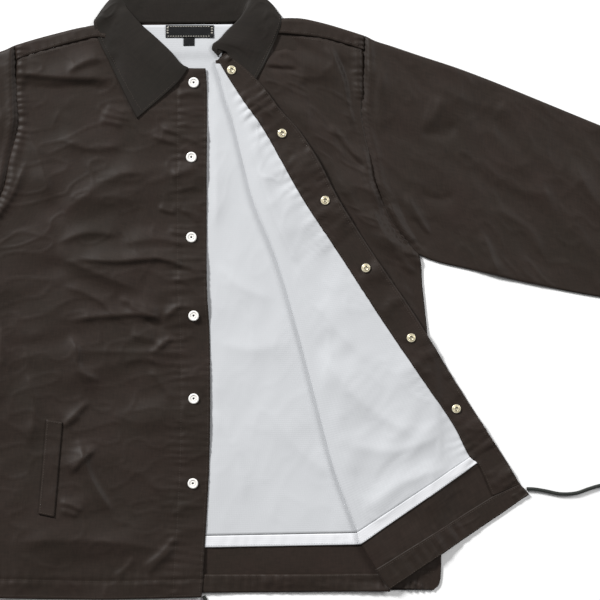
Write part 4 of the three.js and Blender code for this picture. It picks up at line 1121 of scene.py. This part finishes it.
def flap_points():
    """The whole left front: from its side to the fold, round it and out to the flipped edge."""
    rows = np.linspace(0, 1, FLAP_SECTIONS * ROWS_PER_SECTION + 1)
    fold, facing, edge = (catmull(FLAP[key], rows) for key in ("fold", "facing", "edge"))
    inward = facing - fold
    span = np.maximum(np.linalg.norm(inward, axis=1), 1e-6)[:, None]
    inward = inward / span
    radius = (FOLD_HEIGHT - FRONT_HEIGHT) / 2
    start = fold + inward * radius
    columns = np.linspace(0, 1, UNDER_COLUMNS)
    plan = coons_from(along(LEFT_NECK, columns), along(LEFT_HEM, columns), start,
                      along(body_side(False, LEFT_NECK[-1]), rows), columns, rows)[:, ::-1]
    under = panel_grid(plan, left_front_height)
    turn = np.pi * np.arange(1, ARC_COLUMNS + 1) / (ARC_COLUMNS + 1)
    reach = radius * (1 - np.sin(turn))
    arc = fold[:, None] + inward[:, None] * reach[None, :, None]
    arc_rise = np.broadcast_to(FRONT_HEIGHT + radius * (1 - np.cos(turn)), arc.shape[:2])
    first = np.minimum(radius / span, 0.4)
    along_lining = first + (1 - first) * np.linspace(0, 1, LINING_COLUMNS + 1)
    lining = fold[:, None] + (facing - fold)[:, None] * along_lining[..., None]
    strip = facing[:, None] + (edge - facing)[:, None] * np.linspace(
        0, 1, FACING_COLUMNS + 1)[None, 1:, None]
    top = np.concatenate([lining, strip], axis=1)
    away = np.linalg.norm(top - fold[:, None], axis=2)
    rise = flap_height(top[..., 0], top[..., 1], away)
    relief = flap_relief(top[..., 0], top[..., 1]) * smooth(away / 24)
    on_body = smooth((rise - 1.5) / 2.5)
    rise = np.maximum(rise + 0.7 * smooth(away / 24) + relief, 0.56 + 4.4 * on_body)
    return np.concatenate([under, np.dstack([arc, arc_rise]), np.dstack([top, rise])], axis=1)


ARC_START = UNDER_COLUMNS
FACING_START = ARC_START + ARC_COLUMNS + LINING_COLUMNS
EDGE_COLUMN = FACING_START + FACING_COLUMNS


def row_of(section):
    return section * ROWS_PER_SECTION


def left_front_pieces():
    grid = flap_points()
    piece = cloth("front_left", "shell", grid)

    above = lifted(grid, CLOTH + 0.25)

    def part(r0, r1, c0, c1, lift=0.0):
        share = above + [0, 0, lift]
        return share[r0:r1 + 1, c0:c1 + 1]

    lining = part(HOLLOW_ROWS, row_of(BAND_TOP_SECTION), ARC_START + 2, FACING_START)
    piece = cloth("front_lining", "lining", lining)
    band = part(row_of(BAND_TOP_SECTION), row_of(LINING_END_SECTION), ARC_START + 2,
                FACING_START, 0.3)
    piece = cloth("front_lining_hem", "lining_hem", band)
    facing = part(0, row_of(CHANNEL_SECTION), FACING_START, EDGE_COLUMN, 0.35)
    piece = cloth("facing_left", "shell", facing)
    channel = part(row_of(CHANNEL_SECTION), len(grid) - 1, ARC_START + 2, EDGE_COLUMN, 0.35)
    piece = cloth("front_hem_channel", "shell", channel)

    lines = [facing[:, 1], facing[:, -3], channel[2, 3:], channel[-2, 3:]]
    stitches("flap_stitching", lines, CLOTH / 2, [], "shell")
    stitches("flap_lining_hem_stitching", [band[-3, 2:-2]], CLOTH / 2, [], "lining_hem",
             "pale_thread")
    yoke = [(x, y - 5) for x, y in YOKE_LEFT["seam"]]
    lines = [on_height(line, left_front_height) for line in (yoke, LEFT_CHANNEL_LINE)]
    stitches("front_left_stitching", lines, CLOTH / 2, [], "shell")
    return above


YOKE_LIP, YOKE_ROUND = 7.5, 1.8


def yoke_piece(name, table, line):
    """A yoke from under the shoulder, round its edge and down to its seam on the front."""
    steps = shares_of(130)
    contour, seam = along(table["contour"], steps), along(table["seam"], steps)
    inward = seam - contour
    reach = np.linalg.norm(inward, axis=1)[:, None]
    inward = inward / reach

    def lie(x, y, share=0.9):
        z = FRONT_HEIGHT + 0.6 + armhole_shape(x, y, line) + 0.4 * share
        return z + pucker_rise(x, y, table["seam"], 11, 6, 0.5) + crinkle_rise(x, y, 0.3, 0.5)

    low = back_height(contour[:, 0], contour[:, 1])
    crown = 0.35 * CRINKLES.at(contour[:, 0] / 11, contour[:, 1] / 40)
    rows = []
    for distance, z in (
        (YOKE_LIP, low), (4.5, low), (YOKE_ROUND, low), (0.8, low + 0.35), (0.25, low + 1.1),
        (0.1, 0.5 * (low + FRONT_HEIGHT)), (0.35, FRONT_HEIGHT - 0.8), (1.1, FRONT_HEIGHT - 0.1),
    ):
        spot = contour + inward * distance
        rows.append(np.column_stack([spot, np.broadcast_to(z, len(spot))]))
    for share in np.linspace(0.12, 1, 9):
        spot = contour + inward * (reach * share + 1.4 * share)
        z = lie(spot[:, 0], spot[:, 1], share) + crown * (1 - share) - 0.5 * (share == 1)
        rows.append(np.column_stack([spot, z]))
    piece = cloth(name, "shell", np.stack(rows))
    edge = [(x, y + 2.2) for x, y in table["seam"]]
    stitches(name + "_stitching", [on_height(edge, lie)], CLOTH / 2, [], "shell")


SLEEVE_TUCK, SLEEVE_START = 3.0, 1.0


CUFF_SEAM = [(771, 491), (738, 371)]


def sleeve_outline(mirror):
    def place(points, shift):
        moved = np.array(points, float)
        moved[:, 0] += shift
        return mirrored(moved) if mirror else moved

    armhole = place(ARMHOLE, SLEEVE_START)
    top, under = place(SLEEVE_TOP, 0.4), place(SLEEVE_UNDER, 0.4)
    armhole[0], armhole[-1] = top[0], under[0]
    return armhole, top, under


def sleeve_shape(x, y, mirror):
    """Height of the sleeve's upper side; the right one has the left one's creases, mirrored."""
    if mirror:
        shoulder = np.clip((y + 10 - UNDERARM_Y) / (SHOULDER_Y - UNDERARM_Y), 0, 1)
        x, y = -x, y + RIGHT_SHOULDER_DROP * shoulder
    creases = crease_rise(x, y, SLEEVE_CREASES)
    if mirror:
        creases = 0.6 * creases + 0.5 * crease_rise(x - 26, y + 9, SLEEVE_CREASES)
    creases = 1.25 * creases + crease_rise(x, y, ARMPIT_CREASES)
    z = FRONT_HEIGHT + creases + crinkle_rise(x + 300 * mirror, y, -0.9, 1.15)
    z += armhole_shape(x, y, ARMHOLE_LEFT)
    return z + pucker_rise(x, y, CUFF_SEAM, 9, 26, 1.4)


def sleeve_piece(side, mirror):
    armhole, top, under = sleeve_outline(mirror)
    stations = np.linspace(0, 1, len(shares_of(555)))
    across = np.concatenate([[0, 0.006, 0.015], np.linspace(0.028, 0.972, len(shares_of(230))),
                             [0.985, 0.994, 1]])
    start = along(armhole, across)
    over, beneath = along(top, stations), along(under, stations)
    plan = over[:, None] * (1 - across)[None, :, None] + beneath[:, None] * across[None, :, None]
    bow = start - (over[0] * (1 - across)[:, None] + beneath[0] * across[:, None])
    plan = plan + bow[None] * ((1 - stations) ** 2)[:, None, None]
    z = sleeve_shape(plan[..., 0], plan[..., 1], mirror)
    mid, low = 0.5 * (BACK_HEIGHT + FRONT_HEIGHT), BACK_HEIGHT
    width = np.linalg.norm(plan[:, -1] - plan[:, 0], axis=1)[:, None]
    reach = np.minimum(across, 1 - across)[None] * width
    roll = np.sqrt(np.clip(1 - (1 - np.clip(reach / 3.5, 0, 1)) ** 2, 0, 1))
    z = np.maximum(mid + (z - mid) * roll, low + 1.3)
    tuck = 1 - smooth(stations * 555 / 4)
    first = plan[0].copy()
    first[:, 0] += SLEEVE_TUCK * (1 if mirror else -1)
    z = z + tuck[:, None] * np.minimum(0, 2.35 - z) * roll
    upper = np.dstack([plan, z])
    tucked = np.column_stack([first, np.full(len(first), 1.85)])
    tucked[[0, -1]] = upper[0, [0, -1]]
    upper = np.concatenate([tucked[None], upper])
    back_across = np.linspace(0.97, 0.03, 22)
    plan_low = np.stack([np.stack([np.interp(back_across, across, row[:, k]) for k in (0, 1)], 1)
                         for row in np.concatenate([plan[:1], plan])])
    rise = np.clip(crinkle_rise(plan_low[..., 0], plan_low[..., 1], 0.4, 0.4), 0, 0.5)
    lower = np.dstack([plan_low, low + rise * 0.5])
    grid = np.concatenate([upper, lower], axis=1)
    piece = cloth("sleeve_" + side, "shell", grid, wrap=True)


CUFF_CLOTH, COLLAR_CLOTH = 1.2, 1.4


def cuff_piece(side, mirror):
    """An elastic cuff: rows of small even gathers drawn in by stitched elastic."""
    ends = np.array([CUFF["top"], CUFF["under"]], float)
    ends = mirrored(ends) if mirror else ends
    top, under = ends
    down = (under - top) / np.linalg.norm(under - top)
    out = np.array([-down[1], down[0]]) * (-1 if mirror else 1)
    count = CUFF["gathers"] * 8
    across = np.linspace(0, 1, count + 1)
    rings = []
    for station in np.linspace(0, 1, 15):
        spot = top + (under - top) * across[:, None] + out * CUFF["length"] * station
        phase = 2 * np.pi * CUFF["gathers"] * across + 0.5 * CRINKLES.at(across * 9, station * 2 + across)
        swell = 0.9 + 0.5 * np.sin(3 * np.pi * station) ** 2
        edge = smooth(across / 0.03) * smooth((1 - across) / 0.03)
        z = FRONT_HEIGHT + 0.4 + swell * (0.8 + 0.8 * np.cos(phase)) * edge
        mid = 0.5 * (BACK_HEIGHT + FRONT_HEIGHT)
        z = mid + (z - mid) * np.sqrt(np.clip(1 - (1 - np.clip(
            np.minimum(across, 1 - across) * 120 / 2.5, 0, 1)) ** 2, 0, 1))
        back = spot[::-1][6:-6:3]
        low = BACK_HEIGHT + 0.15 + 0.25 * (1 + np.cos(phase))[::-1][6:-6:3]
        rings.append(np.concatenate([np.column_stack([spot, z]), np.column_stack([back, low])]))
    piece = cloth("cuff_" + side, "shell", np.array(rings), CUFF_CLOTH, wrap=True)


def collar_points():
    """Points of the collar, from its neck seam over the roll to its outer edge."""
    table = np.array(COLLAR, float)
    along_neck = np.linspace(0, 1, COLLAR_SECTIONS * 9 + 1)
    lines = np.stack([catmull(table[:, k], along_neck) for k in range(5)], 1)
    across = np.linspace(0, 1, 49)
    return np.stack([catmull(row, across) for row in lines])


def collar_piece():
    grid = collar_points()
    x, y = grid[..., 0], grid[..., 1]
    across = np.linspace(0, 4, grid.shape[1])[None]
    fall = 0.5 + 0.5 * smooth((across - 1.2) / 0.6)
    shape = crinkle_rise(1.3 * x, 1.3 * y, 0.7, 0.85) * fall * smooth((4.1 - across) / 0.4)
    edge = -0.5 * np.exp(-((across - 3.86) / 0.05) ** 2) - 0.45 * smooth(across - 2.9)
    hidden = smooth((752 - y) / 12) * smooth((100 - np.abs(x)) / 20)
    grid = grid.copy()
    grid[..., 2] = np.maximum(grid[..., 2] + (shape + edge) * (1 - hidden), 0.85)
    piece = cloth("collar", "collar", grid, COLLAR_CLOTH)
    half = len(grid) // 2
    lines = [grid[3:half, -4], grid[half:-3, -4], grid[2, 26:-3], grid[-3, 26:-3]]
    keep = [line[line[:, 2] > 4.7] for line in lines]
    stitches("collar_stitching", keep, COLLAR_CLOTH / 2, [], "collar")


def label_pieces():
    height = lining_shape(np.array([0.0]), np.array([720.0]))[0] + CLOTH / 2 + 0.6
    for name, x0, x1, y0, y1, low, flat in (
        ("neck_label", -30.5, 30.5, 729.3, 713.5, height, (0.061, 0.0155)),
        ("size_tag", -8, 6, 713.5, 703.2, height - 0.45, (0.014, 0.0105)),
    ):
        us, vs = shares_of(x1 - x0, 0.5), shares_of(y0 - y1, 0.4)
        plan = strip_between([(x0, y0), (x1, y0)], [(x0, y1), (x1, y1)], us, vs)

        def lie(x, y):
            return low + 0.25 * np.sin(x / 7.0) * np.cos(y / 5.0) + 0.2 * CRINKLES.at(x / 9, y / 7)

        piece = cloth(name, "label", panel_grid(plan, lie), 0.5)
        if name == "neck_label":
            left, right, top, foot = x0 + 1.9, x1 - 1.9, y0 - 1.8, y1 + 1.8
            bars = [((left, top), (right, top)), ((left, foot), (right, foot))]
            for x in (left, left + 1.2, right - 1.2, right):
                bars.append(((x, top), (x, foot)))
            frame_lines = [on_height(bar, lie, 40) for bar in bars]
            stitches("label_border", frame_lines, 0.28, [], "label", "label_border", 1.5)


def welt_piece():
    half = WELT["width"] / 2
    top, foot = ([(x - half, y + 2), (x + half, y - 2)] for x, y in (WELT["top"], WELT["foot"]))

    def lie(x, y):
        return right_front_height(x, y) + CLOTH + 0.75

    plan = strip_between(top, foot, shares_of(20, 0.7), shares_of(120, 0.7))
    piece = cloth("pocket_welt_right", "shell", panel_grid(plan, lie), 1.1)
    lines = [
        [(top[0][0] + 2, top[0][1] - 2.4), (top[1][0] - 1, top[1][1] - 2)],
        [(foot[0][0] + 2, foot[0][1] + 2.0), (foot[1][0] - 1, foot[1][1] + 2.4)],
        [(top[0][0] + 2, top[0][1] - 2.4), (foot[0][0] + 2, foot[0][1] + 2)],
    ]
    stitches("welt_stitching", [on_height(line, lie, 120) for line in lines], 0.55, [], "shell")


def lathe(name, profile, diameter, place, sides=56):
    """A turned piece from shares of its diameter, standing at a place in the garment's frame."""
    outline = along(profile, np.linspace(0, 1, 64)) * diameter
    turn = np.linspace(0, 2 * np.pi, sides, endpoint=False)
    rings = [np.column_stack([r * np.cos(turn), r * np.sin(turn), np.full(sides, z)])
             for r, z in outline]
    verts = np.concatenate(rings) + place
    index = np.arange(len(rings) * sides).reshape(len(rings), sides)
    follow = np.roll(index, -1, axis=1)
    quads = np.stack([index[:-1], follow[:-1], follow[1:], index[1:]], -1).reshape(-1, 4)
    return build_mesh(name, verts, quads)


STUD_PROFILE = [
    (0.001, 0.0), (0.3, 0.0), (0.46, 0.01), (0.5, 0.06), (0.485, 0.12), (0.43, 0.16),
    (0.36, 0.165), (0.32, 0.14), (0.295, 0.075), (0.265, 0.055), (0.235, 0.085), (0.205, 0.125),
    (0.15, 0.12), (0.1, 0.09), (0.08, 0.04), (0.001, 0.035),
]
# The dark disc that fills each stud's hollow centre, as painted shade for the hole, in shares of the
# stud's diameter
CENTRE_SHADE_PROFILE = [
    (0.001, 0.02), (0.06, 0.025), (0.085, 0.04), (0.08, 0.065), (0.06, 0.05), (0.001, 0.045),
]
SOCKET_PROFILE = [
    (0.001, 0.0), (0.36, 0.0), (0.47, 0.015), (0.5, 0.05), (0.48, 0.11), (0.42, 0.15), (0.37, 0.13),
    (0.345, 0.09), (0.32, 0.13), (0.3, 0.2), (0.255, 0.225), (0.215, 0.19), (0.2, 0.11),
    (0.001, 0.1),
]
STUD_DIAMETER, SOCKET_DIAMETER = 13.2, 11.4


SPRING_REACH, SPRING_OFF = 0.24, 0.13  # shares of the socket's diameter
SPRING_BOW, SPRING_CURVE, SPRING_RADIUS = 0.35, 7, 0.5
SPRING_RINGS, SPRING_SIDES = 7, 8


def spring_wire(name, spot, heading):
    """The socket's spring: two short wires across its well."""
    verts, faces = [], []
    c, s = math.cos(heading), math.sin(heading)
    for off in (-SPRING_OFF, SPRING_OFF):
        base = len(verts)
        for run in np.linspace(-SPRING_REACH, SPRING_REACH, SPRING_RINGS):
            bow = off * (1 + SPRING_BOW * math.cos(run * SPRING_CURVE))
            for a in np.linspace(0, 2 * np.pi, SPRING_SIDES, endpoint=False):
                u = run * SOCKET_DIAMETER
                v = bow * SOCKET_DIAMETER + SPRING_RADIUS * math.cos(a)
                verts.append([spot[0] + u * c - v * s, spot[1] + u * s + v * c,
                              spot[2] + SPRING_RADIUS * math.sin(a)])
        faces += tube_faces(base, SPRING_RINGS, SPRING_SIDES)
    dress(build_mesh(name, verts, faces), [], "socket", "spring")


def snap_pieces(above):
    for i, (x, y) in enumerate(STUDS):
        rest = right_front_height(np.array([float(x)]), np.array([float(y)]))[0]
        spot = [x, y, rest + CLOTH / 2 + 0.1]
        name = f"stud_{i + 1}"
        dress(lathe(name, STUD_PROFILE, STUD_DIAMETER, spot), [name], "stud")
        # Each stud's hollow centre gets a dark disc: painted shade for the hole
        spot[2] += 0.25
        dress(lathe(f"stud_centre_painted_shade_{i + 1}", CENTRE_SHADE_PROFILE, STUD_DIAMETER, spot, 24), [], "stud",
              "centre_shade")
    facing = above[:, FACING_START:EDGE_COLUMN + 1].reshape(-1, 3)
    for i, (x, y) in enumerate(SOCKETS):
        near = np.argsort((facing[:, 0] - x) ** 2 + (facing[:, 1] - y) ** 2)[:24]
        spot = [x, y, facing[near, 2].max() + 0.35 + CLOTH / 2 - 0.1]
        name = f"socket_{i + 1}"
        dress(lathe(name, SOCKET_PROFILE, SOCKET_DIAMETER, spot), [name], "socket")
        spot[2] += 0.17 * SOCKET_DIAMETER
        spring_wire(f"socket_spring_{i + 1}", spot, -0.75 + 0.35 * (i % 3))


def overhand_knot(name, centre, heading, nodes):
    """A tight overhand knot: a trefoil of the same cord, pulled up small."""
    t = np.linspace(0, 2 * np.pi, 121)[:-1]
    loop = np.column_stack([
        np.sin(t) + 2 * np.sin(2 * t), np.cos(t) - 2 * np.cos(2 * t), -np.sin(3 * t)])
    loop *= [0.95, 0.82, 1.25]
    c, s = math.cos(heading), math.sin(heading)
    loop[:, :2] = loop[:, :2] @ np.array([[c, s], [-s, c]])
    ring = np.linspace(0, 2 * np.pi, 12, endpoint=False)
    ahead = np.roll(loop, -1, axis=0) - np.roll(loop, 1, axis=0)
    ahead /= np.linalg.norm(ahead, axis=1)[:, None]
    side = np.cross(ahead, [0.0, 0.0, 1.0])
    side /= np.linalg.norm(side, axis=1)[:, None]
    up = np.cross(side, ahead)
    radius = CORD_DIAMETER / 2 * 0.93
    tube = loop[:, None] + radius * (side[:, None] * np.cos(ring)[None, :, None]
                                     + up[:, None] * np.sin(ring)[None, :, None])
    verts = tube.reshape(-1, 3)
    verts[:, 2] -= verts[:, 2].min() - 0.05
    verts[:, :2] += centre
    index = np.arange(len(verts)).reshape(len(t), 12)
    right, down = np.roll(index, -1, axis=1), np.roll(index, -1, axis=0)
    both = np.roll(right, -1, axis=0)
    quads = np.stack([index, right, both, down], -1).reshape(-1, 4)
    return dress(build_mesh(name, verts, quads), nodes, "cord")


def cord_piece(side, route):
    lay = CORD_DIAMETER / 2
    points = along(route, np.linspace(0, 1, 60))
    path = [tuple((np.array([x, y, lay]) - ORIGIN) * MM) for x, y in points]
    data = bpy.data.curves.new("drawcord_" + side, "CURVE")
    data.dimensions = "3D"
    data.bevel_depth = CORD_DIAMETER / 2 * MM
    data.bevel_resolution = 5
    data.use_fill_caps = True
    line = data.splines.new("POLY")
    line.points.add(len(path) - 1)
    for spot, at in zip(line.points, path):
        spot.co = (*at, 1.0)
    piece = bpy.data.objects.new("drawcord_" + side, data)
    bpy.context.scene.collection.objects.link(piece)
    dress(piece, ["drawcord_" + side], "cord")
    ahead = points[-1] - points[-2]
    ahead = ahead / np.linalg.norm(ahead)
    centre = points[-1] + ahead * (KNOT_DIAMETER / 2 - 0.6)
    knot = overhand_knot("drawcord_knot_" + side, centre, math.atan2(ahead[1], ahead[0]),
                         ["drawcord_knot_" + side])


# Stage


FLOOR_HALF = 4.0  # metres
FLOOR_DROP = 0.06  # below the garment's lowest point
WORLD_STRENGTH = 0.21
SENSOR_WIDTH = 36.0
# Name, watts, place and diameter in metres
LIGHTS = (("key", 870.0, (-4.8, 5.0, 4.3), 1.9), ("fill", 265.0, (5.1, 3.1, 4.5), 3.4))


def floor_piece():
    half, low = FLOOR_HALF, -FLOOR_DROP * MM
    mesh = bpy.data.meshes.new("floor")
    corners = [(-half, -half, low), (half, -half, low), (half, half, low), (-half, half, low)]
    mesh.from_pydata(corners, [], [(0, 1, 2, 3)])
    floor = bpy.data.objects.new("floor", mesh)
    bpy.context.scene.collection.objects.link(floor)
    mesh.materials.append(material("paper"))


def light(name, power, place, size):
    """A round lamp that shines at the middle of the garment."""
    data = bpy.data.lights.new(name, "AREA")
    data.shape = "DISK"
    data.energy = power
    data.size = size
    lamp = bpy.data.objects.new(name, data)
    bpy.context.scene.collection.objects.link(lamp)
    lamp.location = place
    lamp.rotation_euler = (-Vector(place)).to_track_quat("-Z", "Y").to_euler()


def stage_set():
    floor_piece()
    look = Vector(((np.array([*VIEW_CENTRE, 0.0]) - ORIGIN) * MM).tolist())
    data = bpy.data.cameras.new("camera")
    data.sensor_width = SENSOR_WIDTH
    data.lens = SENSOR_WIDTH * CAMERA_HEIGHT / VIEW_SPAN
    camera = bpy.data.objects.new("camera", data)
    bpy.context.scene.collection.objects.link(camera)
    camera.location = look + Vector((0, 0, CAMERA_HEIGHT * MM))
    bpy.context.scene.camera = camera
    for lamp in LIGHTS:
        light(*lamp)
    world = bpy.data.worlds.new("studio")
    world.use_nodes = True
    background = world.node_tree.nodes["Background"]
    background.inputs["Color"].default_value = (1, 1, 1, 1)
    background.inputs["Strength"].default_value = WORLD_STRENGTH
    bpy.context.scene.world = world
    bpy.context.scene.view_settings.view_transform = "Standard"


# Operators: one for each piece or group, and one for the stage


class BuildStage(bpy.types.Operator):
    """Adds the floor, lights and camera"""
    bl_idname = "jacket.stage"
    bl_label = "Stage"

    def execute(self, context):
        stage_set()
        return {"FINISHED"}


class BuildBack(bpy.types.Operator):
    """Adds the back and the channel along its hem"""
    bl_idname = "jacket.back"
    bl_label = "Back"

    def execute(self, context):
        back_piece()
        back_channel_piece()
        return {"FINISHED"}


class BuildLining(bpy.types.Operator):
    """Adds the lining of the back, with its turned hem"""
    bl_idname = "jacket.lining"
    bl_label = "Back Lining"

    def execute(self, context):
        back_lining_pieces()
        return {"FINISHED"}


class BuildRightFront(bpy.types.Operator):
    """Adds the right front with its pocket welt and stitching"""
    bl_idname = "jacket.right_front"
    bl_label = "Right Front"

    def execute(self, context):
        right_front_piece()
        welt_piece()
        return {"FINISHED"}


class BuildLeftFront(bpy.types.Operator):
    """Adds the left front folded open, with its lining and facing, and the snaps"""
    bl_idname = "jacket.left_front"
    bl_label = "Left Front and Snaps"

    def execute(self, context):
        snap_pieces(left_front_pieces())
        return {"FINISHED"}


class BuildYokes(bpy.types.Operator):
    """Adds both shoulder yokes"""
    bl_idname = "jacket.yokes"
    bl_label = "Shoulder Yokes"

    def execute(self, context):
        yoke_piece("yoke_left", YOKE_LEFT, ARMHOLE_LEFT)
        yoke_piece("yoke_right", YOKE_RIGHT, ARMHOLE_RIGHT)
        return {"FINISHED"}


class BuildSleeves(bpy.types.Operator):
    """Adds both sleeves and their elastic cuffs"""
    bl_idname = "jacket.sleeves"
    bl_label = "Sleeves and Cuffs"

    def execute(self, context):
        for side, mirror in (("left", False), ("right", True)):
            sleeve_piece(side, mirror)
            cuff_piece(side, mirror)
        return {"FINISHED"}


class BuildCollar(bpy.types.Operator):
    """Adds the collar and its topstitching"""
    bl_idname = "jacket.collar"
    bl_label = "Collar"

    def execute(self, context):
        collar_piece()
        return {"FINISHED"}


class BuildLabels(bpy.types.Operator):
    """Adds the plain woven neck label and size tag"""
    bl_idname = "jacket.labels"
    bl_label = "Labels"

    def execute(self, context):
        label_pieces()
        return {"FINISHED"}


class BuildDrawcord(bpy.types.Operator):
    """Adds the two knotted ends of the hem's drawcord"""
    bl_idname = "jacket.drawcord"
    bl_label = "Drawcord"

    def execute(self, context):
        cord_piece("right", CORD_RIGHT)
        cord_piece("left", CORD_LEFT)
        return {"FINISHED"}


OPERATORS = (
    BuildStage, BuildBack, BuildLining, BuildRightFront, BuildLeftFront, BuildYokes, BuildSleeves,
    BuildCollar, BuildLabels, BuildDrawcord,
)


class JacketPanel(bpy.types.Panel):
    """Lists the jacket's pieces in the sidebar"""
    bl_label = "Coach Jacket"
    bl_idname = "VIEW3D_PT_jacket"
    bl_space_type = "VIEW_3D"
    bl_region_type = "UI"
    bl_category = "Jacket"

    def draw(self, context):
        layout = self.layout
        for group in (context.scene.jacket_colours, context.scene.jacket_sizes):
            for name in group.__annotations__:
                layout.prop(group, name)
        for operator in OPERATORS:
            layout.operator(operator.bl_idname)


CLASSES = (JacketColours, JacketSizes, *OPERATORS, JacketPanel)


def register():
    for item in CLASSES:
        bpy.utils.register_class(item)
    bpy.types.Scene.jacket_colours = PointerProperty(type=JacketColours)
    bpy.types.Scene.jacket_sizes = PointerProperty(type=JacketSizes)


def unregister():
    del bpy.types.Scene.jacket_sizes
    del bpy.types.Scene.jacket_colours
    for item in reversed(CLASSES):
        bpy.utils.unregister_class(item)


def main():
    register()
    for operator in OPERATORS:
        group, action = operator.bl_idname.split(".")
        getattr(getattr(bpy.ops, group), action)()


if __name__ == "__main__":
    main()
